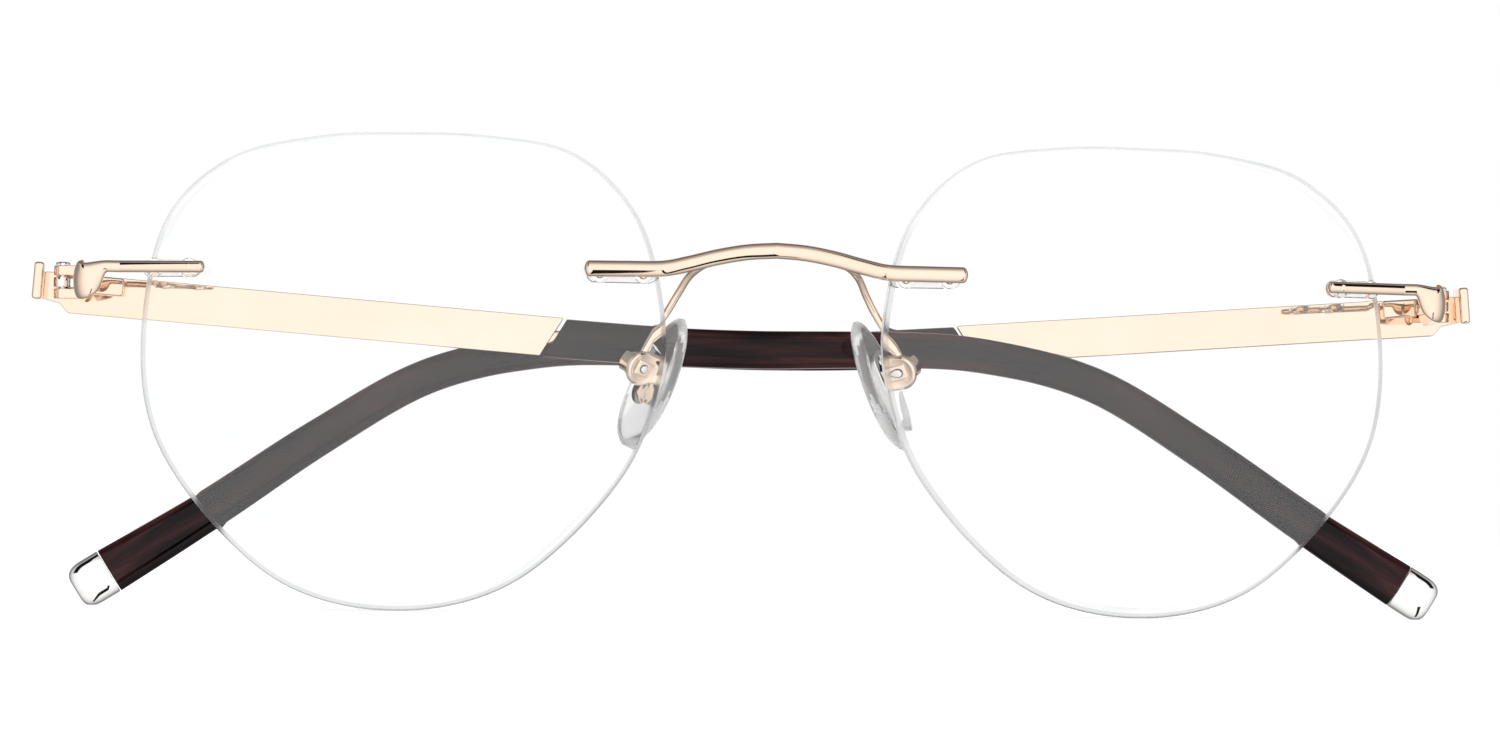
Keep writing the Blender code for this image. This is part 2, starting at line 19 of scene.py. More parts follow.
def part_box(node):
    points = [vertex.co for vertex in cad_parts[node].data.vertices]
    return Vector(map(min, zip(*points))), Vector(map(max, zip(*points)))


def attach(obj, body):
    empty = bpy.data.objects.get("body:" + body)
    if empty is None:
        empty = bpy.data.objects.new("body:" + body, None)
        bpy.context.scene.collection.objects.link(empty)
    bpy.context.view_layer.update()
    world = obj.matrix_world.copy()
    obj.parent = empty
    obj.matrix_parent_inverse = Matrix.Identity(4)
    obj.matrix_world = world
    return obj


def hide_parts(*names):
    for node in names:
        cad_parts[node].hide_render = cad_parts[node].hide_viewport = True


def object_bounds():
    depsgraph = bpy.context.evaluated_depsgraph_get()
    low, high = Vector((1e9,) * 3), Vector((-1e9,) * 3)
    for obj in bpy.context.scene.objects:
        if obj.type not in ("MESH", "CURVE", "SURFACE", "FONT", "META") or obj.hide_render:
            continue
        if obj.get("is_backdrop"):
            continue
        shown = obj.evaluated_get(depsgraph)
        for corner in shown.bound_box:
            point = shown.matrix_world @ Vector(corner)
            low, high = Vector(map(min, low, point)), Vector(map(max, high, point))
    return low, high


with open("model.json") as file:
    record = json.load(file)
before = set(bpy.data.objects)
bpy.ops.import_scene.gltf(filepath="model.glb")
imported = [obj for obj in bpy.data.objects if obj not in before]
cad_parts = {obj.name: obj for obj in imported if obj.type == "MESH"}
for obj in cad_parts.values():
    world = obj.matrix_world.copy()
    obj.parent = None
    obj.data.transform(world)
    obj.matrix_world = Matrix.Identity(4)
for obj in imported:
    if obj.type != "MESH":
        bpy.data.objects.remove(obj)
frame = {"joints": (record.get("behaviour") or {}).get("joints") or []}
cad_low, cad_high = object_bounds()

print("size in mm:", [round(1000 * side, 1) for side in cad_high - cad_low])

# %% [markdown]
# ## Sizes
# The pieces are drawn in millimetres, as an optician measures: x runs out from the middle
# of the nose, y back towards the face, z up, with zero at mid lens height. Temples have a frame
# of their own: u along the temple from its hinge, v outwards and w up. A few
# driving sizes are named here, and the rest follow from them.

# %% Driving sizes
MM = 0.001
SIDES = {"right": -1, "left": 1}
LENS_WIDTH = 50.0
LENS_GAP = 21.8
LENS_THICKNESS = 2.0
LENS_CURVE_RADIUS = 125.0
LENS_WRAP = math.radians(4.0)
LENS_APEX_Y = 1.0
LENS_CENTRE_X = (LENS_GAP + LENS_WIDTH) / 2
LENS_BELOW_CENTRE = 22.9
FOLDED_DEPTH_CENTRE = 9.5
REST_GAP = 0.1
MOUNT_Z = 9.55
BRIDGE_PIN_X = (12.7, 16.9)
ENDPIECE_PIN_X = (56.0, 59.3)
PIN_RADIUS = 0.45
HINGE = Vector((68.3, 13.5, 8.4))
TEMPLE_SLOPE = math.radians(4.3)
FOLD = {"right": math.radians(-1.2), "left": math.radians(1.9)}
UP = Vector((0, 0, 1))


def lens_front_y(x, z=MOUNT_Z):
    """Depth of the lens's front surface at a distance from the nose and a height."""
    out = x - LENS_CENTRE_X
    return LENS_APEX_Y + out * math.tan(LENS_WRAP) + (out * out + z * z) / (2 * LENS_CURVE_RADIUS)


hinge_joint = next(joint for joint in frame["joints"] if joint["name"] == "temple_fold_left")
print("hinge in the working model, mm:", [round(1000 * part, 1) for part in hinge_joint["pos_m"]])
print("hinge drawn here, mm:", HINGE.x, HINGE.y - FOLDED_DEPTH_CENTRE, HINGE.z + LENS_BELOW_CENTRE)

# %% [markdown]
# ## Where things go
# A piece is drawn once, for the wearer's left, and a matrix carries it to either side. The
# mirror turns a shape inside out, so the faces are turned to point outwards after the move,
# when the shell is already closed and merged.


# %% Matrices from a piece's own millimetres to the room
PLACE = Matrix.Scale(MM, 4) @ Matrix.Translation((0, -FOLDED_DEPTH_CENTRE, LENS_BELOW_CENTRE))


def side_matrix(word):
    return Matrix.Diagonal((SIDES[word], 1, 1, 1))


def temple_matrix(word, slope=TEMPLE_SLOPE):
    """From temple millimetres to the folded place."""
    turned = Matrix.Rotation(FOLD[word], 4, "Z") @ Matrix.Rotation(slope, 4, "Y")
    hinge = Vector((SIDES[word] * HINGE.x, HINGE.y, HINGE.z))
    return Matrix.Translation(hinge) @ Matrix.Diagonal((-SIDES[word], 1, 1, 1)) @ turned


print("right hinge, m:", [round(part, 4) for part in (PLACE @ temple_matrix("right")).translation])

# %% [markdown]
# ## Curves and outlines
# Most pieces here are drawn by a smooth line through a few listed points. A
# Catmull-Rom curve passes through each of its points, so a point can be read as a place on
# the piece. Swept pieces also need their ends rounded, which takes closer points there.


# %% Curve helpers
def curve_through(points, per_span=10, closed=False):
    """Smooth curve that passes through the given points."""
    points = [numpy.array(point, dtype=float) for point in points]
    count = len(points)
    result = []
    for span in range(count if closed else count - 1):
        if closed:
            before, start, end, after = [points[(span + step) % count] for step in (-1, 0, 1, 2)]
        else:
            start, end = points[span], points[span + 1]
            before = points[span - 1] if span > 0 else 2 * start - end
            after = points[span + 2] if span + 2 < count else 2 * end - start
        for step in range(per_span):
            t = step / per_span
            result.append(0.5 * (
                2 * start + (end - before) * t
                + (2 * before - 5 * start + 4 * end - after) * t * t
                + (3 * start - before - 3 * end + after) * t ** 3
            ))
    if not closed:
        result.append(points[-1])
    return result


def stations(route, start_round=0.0, end_round=0.0, spacing=0.4):
    """Points at even spacing along a route, closer at rounded ends, each with its distance."""
    route = [Vector(point) for point in route]
    lengths = [0.0]
    for first, second in zip(route, route[1:]):
        lengths.append(lengths[-1] + (second - first).length)
    total = lengths[-1]
    turns = [math.pi / 2 * step / 7 for step in range(8)]
    distances = [start_round * (1 - math.cos(turn)) for turn in turns] if start_round else [0.0]
    middle = max(2, round((total - start_round - end_round) / spacing))
    span = total - start_round - end_round
    distances += [start_round + span * step / middle for step in range(1, middle)]
    if end_round:
        distances += [total - end_round * (1 - math.cos(turn)) for turn in reversed(turns)]
    else:
        distances.append(total)
    found = []
    for distance in distances:
        place = [float(numpy.interp(distance, lengths, [p[axis] for p in route])) for axis in range(3)]
        found.append((Vector(place), distance))
    return found, total


def end_scale(distance, total, start_round=0.0, end_round=0.0):
    """Share of the full section left at a distance along a bar with rounded ends."""
    scale = 1.0
    if start_round and distance < start_round:
        scale = math.sqrt(max(0.0, 1 - (1 - distance / start_round) ** 2))
    if end_round and total - distance < end_round:
        scale = math.sqrt(max(0.0, 1 - (1 - (total - distance) / end_round) ** 2))
    return max(scale, 0.03)


print("a 10 mm bar is drawn with", len(stations([(0, 0, 0), (10, 0, 0)], 1.0, 1.0)[0]), "sections")

# %% [markdown]
# ## A swept section, in Geometry Nodes
# Bars, wires, temple sleeves, caps and springs all carry an oval section along a line. One
# node tree makes them all: the line's points hold a half width and a half height, a unit
# circle is squared off into the section, and every ring is then set square to the line.
# It also stores how far along, across and over the line each point lies, so that grain can
# follow the piece. The tree ends in Realize Instances and Set Material, and the result becomes
# a mesh.


# %% Node helpers
def feed(tree, socket, value):
    """Link an output to a socket, or write a plain value on it."""
    if isinstance(value, bpy.types.NodeSocket):
        tree.links.new(value, socket)
    elif value is not None:
        socket.default_value = value


def add(tree, kind, inputs=None, **settings):
    """Add a node, set its options, and feed its inputs by name or number."""
    node = tree.nodes.new(kind)
    for name, value in settings.items():
        setattr(node, name, value)
    for name, value in (inputs or {}).items():
        feed(tree, node.inputs[name], value)
    return node


def calc(tree, operation, *values):
    node = add(tree, "ShaderNodeMath", operation=operation)
    for socket, value in zip(node.inputs, values):
        feed(tree, socket, value)
    return node.outputs[0]


def times(tree, first, second):
    return calc(tree, "MULTIPLY", first, second)


def plus(tree, first, second):
    return calc(tree, "ADD", first, second)


def minus(tree, first, second):
    return calc(tree, "SUBTRACT", first, second)


def vector(tree, operation, first, second=None, scale=None):
    node = add(tree, "ShaderNodeVectorMath", {0: first, 1: second}, operation=operation)
    if scale is not None:
        feed(tree, node.inputs["Scale"], scale)
    return node.outputs["Value" if operation == "DOT_PRODUCT" else "Vector"]


def new_tree(name, kind, inputs, outputs):
    """Node group whose sockets are given as {title: kind of socket, or default value}."""
    tree = bpy.data.node_groups.new(name, kind)
    sockets = {}
    for direction, wanted in (("INPUT", inputs), ("OUTPUT", outputs)):
        for title, given in wanted.items():
            known = {float: "Float", int: "Int", tuple: "Vector"}.get(type(given))
            socket_type = f"NodeSocket{known or given}"
            socket = tree.interface.new_socket(title, in_out=direction, socket_type=socket_type)
            if known:
                socket.default_value = given
            if direction == "INPUT":
                sockets[title] = socket.identifier
    start = tree.nodes.new("NodeGroupInput")
    end = tree.nodes.new("NodeGroupOutput")
    return tree, start.outputs, end.inputs, sockets


print("node helpers ready")


# %% Build the swept section tree
def build_sweep_tree():
    tree, given, result, sockets = new_tree(
        "Swept section", "GeometryNodeTree",
        {"Geometry": "Geometry", "Sides": 40, "Squareness": 2.4, "Up": (0, 0, 1), "Material": "Material"},
        {"Geometry": "Geometry"},
    )
    line = add(tree, "GeometryNodeMeshToCurve", {"Mesh": given["Geometry"]})
    held = add(tree, "GeometryNodeCaptureAttribute", {"Geometry": line.outputs[0]})
    stored = {
        "centre": ("VECTOR", add(tree, "GeometryNodeInputPosition").outputs[0]),
        "tangent": ("VECTOR", add(tree, "GeometryNodeInputTangent").outputs[0]),
        "length": ("FLOAT", add(tree, "GeometryNodeSplineParameter").outputs["Length"]),
    }
    for name, kind in (("half_width", "FLOAT"), ("half_height", "FLOAT"), ("lean", "FLOAT_VECTOR")):
        read = add(tree, "GeometryNodeInputNamedAttribute", {"Name": name}, data_type=kind)
        stored[name] = ("VECTOR" if "VECTOR" in kind else "FLOAT", read.outputs[0])
    for name, (kind, value) in stored.items():
        held.capture_items.new(kind, name)
        feed(tree, held.inputs[name], value)
    ring = add(tree, "GeometryNodeCurvePrimitiveCircle", {"Resolution": given["Sides"], "Radius": 1.0})
    ring_held = add(tree, "GeometryNodeCaptureAttribute", {"Geometry": ring.outputs["Curve"]})
    ring_held.capture_items.new("VECTOR", "round")
    feed(tree, ring_held.inputs["round"], add(tree, "GeometryNodeInputPosition").outputs[0])
    tube = add(tree, "GeometryNodeCurveToMesh", {
        "Curve": held.outputs["Geometry"], "Profile Curve": ring_held.outputs["Geometry"],
        "Fill Caps": True,
    })
    power = calc(tree, "DIVIDE", 2.0, given["Squareness"])
    turned = add(tree, "ShaderNodeSeparateXYZ", {0: ring_held.outputs["round"]})
    squared = []
    for part in (turned.outputs["X"], turned.outputs["Y"]):
        filled = calc(tree, "POWER", calc(tree, "ABSOLUTE", part), power)
        squared.append(times(tree, filled, calc(tree, "SIGN", part)))
    wide = times(tree, squared[0], held.outputs["half_width"])
    high = times(tree, squared[1], held.outputs["half_height"])
    sideways = vector(tree, "CROSS_PRODUCT", held.outputs["tangent"], given["Up"])
    across = vector(tree, "NORMALIZE", sideways)
    over = vector(tree, "NORMALIZE", vector(tree, "CROSS_PRODUCT", across, held.outputs["tangent"]))
    place = held.outputs["centre"]
    for direction, amount in ((across, wide), (over, high), (held.outputs["lean"], high)):
        place = vector(tree, "ADD", place, vector(tree, "SCALE", direction, scale=amount))
    shaped = add(tree, "GeometryNodeSetPosition", {"Geometry": tube.outputs[0], "Position": place})
    flow = add(tree, "ShaderNodeCombineXYZ", {"X": held.outputs["length"], "Y": wide, "Z": high})
    mapped = add(tree, "GeometryNodeStoreNamedAttribute", {
        "Geometry": shaped.outputs[0], "Name": "flow", "Value": flow.outputs[0],
    }, data_type="FLOAT_VECTOR")
    whole = add(tree, "GeometryNodeRealizeInstances", {"Geometry": mapped.outputs[0]})
    coloured = add(tree, "GeometryNodeSetMaterial", {
        "Geometry": whole.outputs[0], "Material": given["Material"],
    })
    feed(tree, result["Geometry"], coloured.outputs[0])
    return tree, sockets


sweep_tree, sweep_sockets = build_sweep_tree()
print("swept section tree:", len(sweep_tree.nodes), "nodes")


# %% Use the swept section tree
def swept(line, widths, heights, material, up=UP, squareness=2.4, sides=40, leans=None):
    """Closed mesh, in millimetres, of an oval section carried along a line of points."""
    data = bpy.data.meshes.new("line")
    data.from_pydata(line, [(index, index + 1) for index in range(len(line) - 1)], [])
    values = {
        "half_width": ("FLOAT", "value", widths),
        "half_height": ("FLOAT", "value", heights),
        "lean": ("FLOAT_VECTOR", "vector", leans or [Vector((0, 0, 0))] * len(line)),
    }
    for name, (kind, key, numbers) in values.items():
        attribute = data.attributes.new(name, kind, "POINT")
        attribute.data.foreach_set(key, numpy.array(numbers, dtype=numpy.float32).ravel())
    item = bpy.data.objects.new("line", data)
    bpy.context.scene.collection.objects.link(item)
    modifier = item.modifiers.new("sweep", "NODES")
    modifier.node_group = sweep_tree
    modifier[sweep_sockets["Sides"]] = sides
    modifier[sweep_sockets["Squareness"]] = squareness
    modifier[sweep_sockets["Up"]] = tuple(up)
    modifier[sweep_sockets["Material"]] = material
    graph = bpy.context.evaluated_depsgraph_get()
    mesh = bpy.data.meshes.new_from_object(item.evaluated_get(graph))
    bpy.data.objects.remove(item, do_unlink=True)
    for name in values:
        if name in mesh.attributes:
            mesh.attributes.remove(mesh.attributes[name])
    return mesh


def swept_bar(route, half_width, half_height, material, rounds=(0.0, 0.0), spacing=0.4, **options):
    """Swept bar whose half sizes are numbers or functions of the share of its length."""
    found, total = stations(route, *rounds, spacing)
    widths, heights = [], []
    for _, distance in found:
        scale = end_scale(distance, total, *rounds)
        share = distance / total
        widths.append(scale * (half_width(share) if callable(half_width) else half_width))
        heights.append(scale * (half_height(share) if callable(half_height) else half_height))
    return swept([point for point, _ in found], widths, heights, material, **options)


print("swept bars ready")

# %% [markdown]
# ## Plates, boxes and turned pieces
# The pieces that aren't swept are cut from plate or turned on a lathe. An outline is
# extruded and its edges are broken with a small bevel, because a real edge is never
# knife sharp and the bevel is what catches the light. Holes are cut with a Boolean.


# %% Solid helpers
LEAST_RADIUS = 0.004


def to_mesh(shape, name="shape"):
    data = bpy.data.meshes.new(name)
    shape.to_mesh(data)
    shape.free()
    return data


def skin(rings):
    """Closed shape through rings of points that all have the same count."""
    shape = bmesh.new()
    loops = [[shape.verts.new(point) for point in ring] for ring in rings]
    for first, second in zip(loops, loops[1:]):
        for index in range(len(first)):
            after = (index + 1) % len(first)
            shape.faces.new((first[index], first[after], second[after], second[index]))
    shape.faces.new(loops[0])
    shape.faces.new(loops[-1])
    bmesh.ops.recalc_face_normals(shape, faces=shape.faces)
    return shape


def break_edges(shape, width, segments=3, angle=30):
    """Bevel every edge that turns by more than an angle."""
    if width:
        sharp = [e for e in shape.edges if len(e.link_faces) == 2
                 and e.calc_face_angle(0.0) > math.radians(angle)]
        bmesh.ops.bevel(shape, geom=sharp, offset=width, segments=segments, profile=0.5,
                        affect="EDGES", clamp_overlap=True)
    return shape


def box(low, high, bevel=0.0, segments=4):
    shape = bmesh.new()
    size = Vector(high) - Vector(low)
    centre = (Vector(high) + Vector(low)) / 2
    bmesh.ops.create_cube(shape, size=1.0, matrix=Matrix.Translation(centre) @ Matrix.Diagonal((*size, 1)))
    return to_mesh(break_edges(shape, bevel, segments))


def plate(outline, low, high, axis="z", bevel=0.0, segments=3):
    """Outline of (a, b) points given thickness along an axis."""
    rings = []
    for level in (low, high):
        if axis == "z":
            rings.append([(a, b, level) for a, b in outline])
        else:
            rings.append([(a, level, b) for a, b in outline])
    return to_mesh(break_edges(skin(rings), bevel, segments))


def rounded_outline(corners, steps=6):
    """Outline from (a, b, radius) corners, each turned on an arc."""
    outline = []
    count = len(corners)
    for index in range(count):
        a, b, radius = corners[index]
        corner = Vector((a, b))
        back = (Vector(corners[index - 1][:2]) - corner).normalized()
        ahead = (Vector(corners[(index + 1) % count][:2]) - corner).normalized()
        if radius <= 0:
            outline.append((a, b))
            continue
        half = math.acos(max(-1.0, min(1.0, back.dot(ahead)))) / 2
        centre = corner + (back + ahead).normalized() * radius / math.sin(half)
        start = corner + back * radius / math.tan(half) - centre
        end = corner + ahead * radius / math.tan(half) - centre
        turn = start.angle_signed(end)
        for step in range(steps + 1):
            outline.append(tuple(centre + Matrix.Rotation(-turn * step / steps, 2) @ start))
    return outline


def around(count):
    """Cosine and sine of evenly spaced angles round a full turn."""
    angles = [2 * math.pi * step / count for step in range(count)]
    return [(math.cos(angle), math.sin(angle)) for angle in angles]


def turned(profile, start, direction, sides=48):
    """Lathe shape from (distance along, radius) points round an axis."""
    axis = Vector(direction).normalized()
    turn = axis.to_track_quat("Z", "Y").to_matrix().to_4x4()
    rings = []
    for along, radius in profile:
        reach = max(radius, LEAST_RADIUS)
        rings.append([(reach * cosine, reach * sine, along) for cosine, sine in around(sides)])
    shape = skin(rings)
    shape.transform(Matrix.Translation(start) @ turn)
    return to_mesh(shape)


def rod(start, end, radius, bevel=0.06, sides=40):
    """Round rod with broken ends."""
    start, end = Vector(start), Vector(end)
    length = (end - start).length
    bevel = min(bevel, radius * 0.6)
    profile = [
        (0, 0), (0, radius - bevel), (bevel * 0.3, radius - bevel * 0.3), (bevel, radius),
        (length - bevel, radius), (length - bevel * 0.3, radius - bevel * 0.3),
        (length, radius - bevel), (length, 0),
    ]
    return turned(profile, start, end - start, sides)


def combined(operation, base, *tools):
    """Boolean of one mesh with others."""
    for tool in tools:
        pair = [bpy.data.objects.new("shape", mesh) for mesh in (base, tool)]
        for item in pair:
            bpy.context.scene.collection.objects.link(item)
        modifier = pair[0].modifiers.new(operation, "BOOLEAN")
        modifier.object = pair[1]
        modifier.operation = operation
        modifier.solver = "EXACT"
        graph = bpy.context.evaluated_depsgraph_get()
        base = bpy.data.meshes.new_from_object(pair[0].evaluated_get(graph))
        for item in pair:
            bpy.data.objects.remove(item, do_unlink=True)
    return base


def together(*meshes):
    """Several closed meshes as one."""
    shape = bmesh.new()
    for mesh in meshes:
        shape.from_mesh(mesh)
    return to_mesh(shape)


print("a bevelled cube has", len(box((0, 0, 0), (1, 1, 1), 0.1).polygons), "faces")


# %% Finish a piece
WELD_DISTANCE = 0.000001
SLIVER_LENGTH = 0.0000005


def finish_piece(name, mesh, matrix, material, body, slot, smooth_angle=32):
    """Move a mesh to its place, turn its faces outwards, and hang it on its body."""
    shape = bmesh.new()
    shape.from_mesh(mesh)
    shape.transform(PLACE @ matrix)
    bmesh.ops.remove_doubles(shape, verts=shape.verts, dist=WELD_DISTANCE)
    bmesh.ops.dissolve_degenerate(shape, edges=shape.edges, dist=SLIVER_LENGTH)
    bmesh.ops.recalc_face_normals(shape, faces=shape.faces)
    data = to_mesh(shape, name)
    data.materials.clear()
    data.materials.append(material)
    data.shade_smooth()
    data.set_sharp_from_angle(angle=math.radians(smooth_angle))
    item = bpy.data.objects.new(name, data)
    bpy.context.scene.collection.objects.link(item)
    replaced = name.replace("_visual", "")
    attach(item, body)
    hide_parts(replaced)
    low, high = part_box(replaced)
    drawn = [Vector(corner) for corner in item.bound_box]
    grown = max(
        max(low[axis] - min(c[axis] for c in drawn), max(c[axis] for c in drawn) - high[axis])
        for axis in range(3)
    )
    print(f"{item.name}: {len(data.polygons)} faces, {1000 * grown:+.2f} mm beyond its working shape")
    return item


def on_both_sides(*pieces, **options):
    """Finish pieces given as (kind, draw, place, material, body, slot) on either side."""
    for word in SIDES:
        for kind, draw, place, material, body, slot in pieces:
            carrier = body if body == "front" else f"{body}_{word}"
            finish_piece(f"{kind}_{word}_visual", draw(), place(word), material, carrier, slot, **options)


print("pieces will be finished for the sides:", ", ".join(SIDES))

# %% [markdown]
# ## Surface effects shared by several materials
# Three small groups are built once. *Polish marks* gives the faint, uneven gloss and
# hairlines that a buffing wheel leaves. The second group finds the corners that fingers and
# cases rub, and also the hollows, where the colour is darkened as painted shade. *Fine dust*
# scatters a few specks. Each has named inputs, so gold, steel, plastic and acetate can use them
# at their own strength.


# %% Shared shader groups
def noise(tree, place, scale, detail=2.0, roughness=0.5, distortion=0.0):
    made = add(tree, "ShaderNodeTexNoise", {
        "Vector": place, "Scale": scale, "Detail": detail, "Roughness": roughness,
        "Distortion": distortion,
    })
    return made.outputs["Fac"]


def spread(tree, value, low, high, out_low=0.0, out_high=1.0):
    """Stretch a range of values to another, clamped."""
    made = add(tree, "ShaderNodeMapRange", {
        "Value": value, "From Min": low, "From Max": high, "To Min": out_low, "To Max": out_high,
    })
    return made.outputs[0]


def blend_colour(tree, amount, first, second):
    made = add(tree, "ShaderNodeMix", {0: amount, 6: first, 7: second}, data_type="RGBA")
    return made.outputs[2]


def build_polish_marks():
    tree, given, result, _ = new_tree(
        "Polish marks", "ShaderNodeTree",
        {"Place": "Vector", "Base Roughness": 0.1, "Unevenness": 0.05, "Hairlines": 0.3},
        {"Roughness": "Float", "Height": "Float"},
    )
    broad = noise(tree, given["Place"], 220.0, detail=3.0)
    stretched = add(tree, "ShaderNodeMapping", {
        "Vector": given["Place"], "Scale": (400.0, 9000.0, 9000.0), "Rotation": (0.0, 0.1, 0.06),
    })
    lines = spread(tree, noise(tree, stretched.outputs[0], 1.0, detail=1.0), 0.56, 0.72)
    lines = times(tree, lines, given["Hairlines"])
    uneven = times(tree, minus(tree, broad, 0.4), given["Unevenness"])
    rough = plus(tree, given["Base Roughness"], uneven)
    rough = plus(tree, rough, times(tree, lines, 0.12))
    feed(tree, result["Roughness"], calc(tree, "MAXIMUM", rough, 0.015))
    feed(tree, result["Height"], minus(tree, times(tree, broad, 0.2), lines))
    return tree


def build_wear_and_hollow_shade():
    tree, given, result, _ = new_tree(
        "Wear and hollow shade", "ShaderNodeTree", {"Place": "Vector", "Wear": 0.5},
        {"Edge": "Float", "Hollow Shade": "Float"},
    )
    form = add(tree, "ShaderNodeNewGeometry").outputs["Pointiness"]
    patchy = noise(tree, given["Place"], 900.0, detail=2.0)
    edge = times(tree, spread(tree, form, 0.52, 0.62), spread(tree, patchy, 0.35, 0.65))
    feed(tree, result["Edge"], times(tree, edge, given["Wear"]))
    # The second output marks concave places, where the metal's colour is darkened as painted shade
    feed(tree, result["Hollow Shade"], spread(tree, form, 0.48, 0.40))
    return tree


def build_fine_dust():
    tree, given, result, _ = new_tree(
        "Fine dust", "ShaderNodeTree", {"Place": "Vector", "Amount": 0.2}, {"Mask": "Float"},
    )
    cells = add(tree, "ShaderNodeTexVoronoi", {"Vector": given["Place"], "Scale": 900.0})
    specks = spread(tree, cells.outputs["Distance"], 0.09, 0.03)
    gathered = spread(tree, noise(tree, given["Place"], 150.0), 0.5, 0.7)
    feed(tree, result["Mask"], times(tree, times(tree, specks, gathered),
                                    given["Amount"]))
    return tree


polish_marks = build_polish_marks()
wear_and_hollow_shade = build_wear_and_hollow_shade()
fine_dust = build_fine_dust()
print("shared groups:", polish_marks.name, "/", wear_and_hollow_shade.name, "/", fine_dust.name)

# %% [markdown]
# ## Materials
# Eight finishes cover the object: polished pale rose gold, polished silver, clear lens, the
# lens's ground edge, clear hard plastic, soft clear silicone, a milkier finish on its rim that
# paints on the rim's highlight, and dark tortoise acetate. A number that is the same all over
# goes straight on the shader, and the groups feed only what changes over the surface.


# %% Material helpers
MARK_DEPTH = 0.000002


def new_material(name):
    material = bpy.data.materials.new(name)
    material.use_nodes = True
    return material, material.node_tree, material.node_tree.nodes["Principled BSDF"]


def own_place(tree):
    """Coordinates fixed to the piece, in metres."""
    return add(tree, "ShaderNodeTexCoord").outputs["Object"]


def use_group(tree, group, **inputs):
    node = tree.nodes.new("ShaderNodeGroup")
    node.node_tree = group
    for name, value in inputs.items():
        feed(tree, node.inputs[name.replace("_", " ")], value)
    return node.outputs


def bump(tree, shader, height, distance, strength=0.5):
    made = add(tree, "ShaderNodeBump", {"Height": height, "Distance": distance, "Strength": strength})
    feed(tree, shader.inputs["Normal"], made.outputs["Normal"])


def polish(tree, shader, place, roughness, unevenness, hairlines, dust_amount, dust_matt):
    """Drive the roughness with polish marks and dust, and return the height of the marks."""
    marks = use_group(tree, polish_marks, Place=place, Base_Roughness=roughness,
                      Unevenness=unevenness, Hairlines=hairlines)
    dust = use_group(tree, fine_dust, Place=place, Amount=dust_amount)
    rough = plus(tree, marks["Roughness"], times(tree, dust["Mask"], dust_matt))
    feed(tree, shader.inputs["Roughness"], rough)
    return marks["Height"]


def set_plain(shader, **values):
    """Write numbers that are the same all over straight on the shader."""
    for name, value in values.items():
        shader.inputs[name.replace("_", " ")].default_value = value


def metal(name, colour, second_colour, hollow_shade_colour, roughness, unevenness):
    """Polished metal: two close tints, painted shade that darkens the hollows, paler worn corners, buffing
    marks.
    """
    material, tree, shader = new_material(name)
    place = own_place(tree)
    wear_and_shade = use_group(tree, wear_and_hollow_shade, Place=place, Wear=0.5)
    tint = blend_colour(tree, spread(tree, noise(tree, place, 90.0), 0.35, 0.65), colour, second_colour)
    # Painted shade: concave places go half way towards the dark third colour
    tint = blend_colour(tree, times(tree, wear_and_shade["Hollow Shade"], 0.5), tint, hollow_shade_colour)
    pale = tuple(min(1.0, part * 1.04) for part in colour[:3]) + (1.0,)
    tint = blend_colour(tree, wear_and_shade["Edge"], tint, pale)
    feed(tree, shader.inputs["Base Color"], tint)
    height = polish(tree, shader, place, roughness, unevenness, 0.35, 0.25, 0.3)
    set_plain(shader, Metallic=1.0)
    bump(tree, shader, height, MARK_DEPTH, 0.25)
    return material


def clear(name, colour, ior, roughness, unevenness, cloud, through=1.0):
    """Clear material with its own slight haze, specks and unevenness."""
    material, tree, shader = new_material(name)
    place = own_place(tree)
    milky = spread(tree, noise(tree, place, 300.0, detail=3.0), 0.3, 0.7)
    cloudy = tuple(part * cloud for part in colour[:3]) + (1.0,)
    tint = blend_colour(tree, milky, colour, cloudy)
    feed(tree, shader.inputs["Base Color"], tint)
    polish(tree, shader, place, roughness, unevenness, 0.1, 0.3, 0.4)
    set_plain(shader, IOR=ior, Transmission_Weight=through)
    return material


print("material helpers ready")


# %% Gold, silver and the clear finishes
# The third colour of each metal is the painted shade in its hollows
gold = metal("rose_gold", (0.94, 0.755, 0.61, 1), (0.92, 0.725, 0.575, 1), (0.35, 0.18, 0.10, 1),
             0.04, 0.04)
steel = metal("polished_silver", (0.90, 0.89, 0.88, 1), (0.85, 0.84, 0.83, 1), (0.3, 0.28, 0.27, 1),
              0.05, 0.05)
lens_glass = clear("lens_clear", (0.99, 0.995, 0.995, 1), 1.5, 0.0, 0.006, 0.995)
lens_edge = clear("lens_ground_edge", (0.70, 0.71, 0.72, 1), 1.5, 0.24, 0.1, 0.9)
hard_clear = clear("clear_plastic_finish", (0.96, 0.965, 0.97, 1), 1.47, 0.05, 0.05, 0.95)
soft_clear = clear("clear_silicone", (0.965, 0.965, 0.96, 1), 1.41, 0.10, 0.10, 0.96, through=0.82)
# Milkier, less clear finish for the pad's rim, which paints on its white rim highlight
soft_rim_highlight = clear("clear_silicone_painted_rim_highlight", (0.97, 0.97, 0.965, 1), 1.41, 0.25, 0.10, 0.97, through=0.45)
set_plain(soft_clear.node_tree.nodes["Principled BSDF"], Sheen_Weight=0.5, Sheen_Roughness=0.35)
finishes = (gold, steel, lens_glass, lens_edge, hard_clear, soft_clear, soft_rim_highlight)
print("finishes:", ", ".join(material.name for material in finishes))


# %% Tortoise acetate
BLACK_ACETATE = (0.004, 0.0015, 0.002, 1)
BROWN_FLAME = (0.038, 0.011, 0.012, 1)
AMBER_FLAME = (0.075, 0.029, 0.025, 1)
BROWN_THREAD = (0.035, 0.012, 0.010, 1)
# Cells per metre along, across and over the sleeve: long flames and finer threads
FLAME_SCALE = (55.0, 520.0, 520.0)
THREAD_SCALE = (260.0, 1800.0, 1800.0)


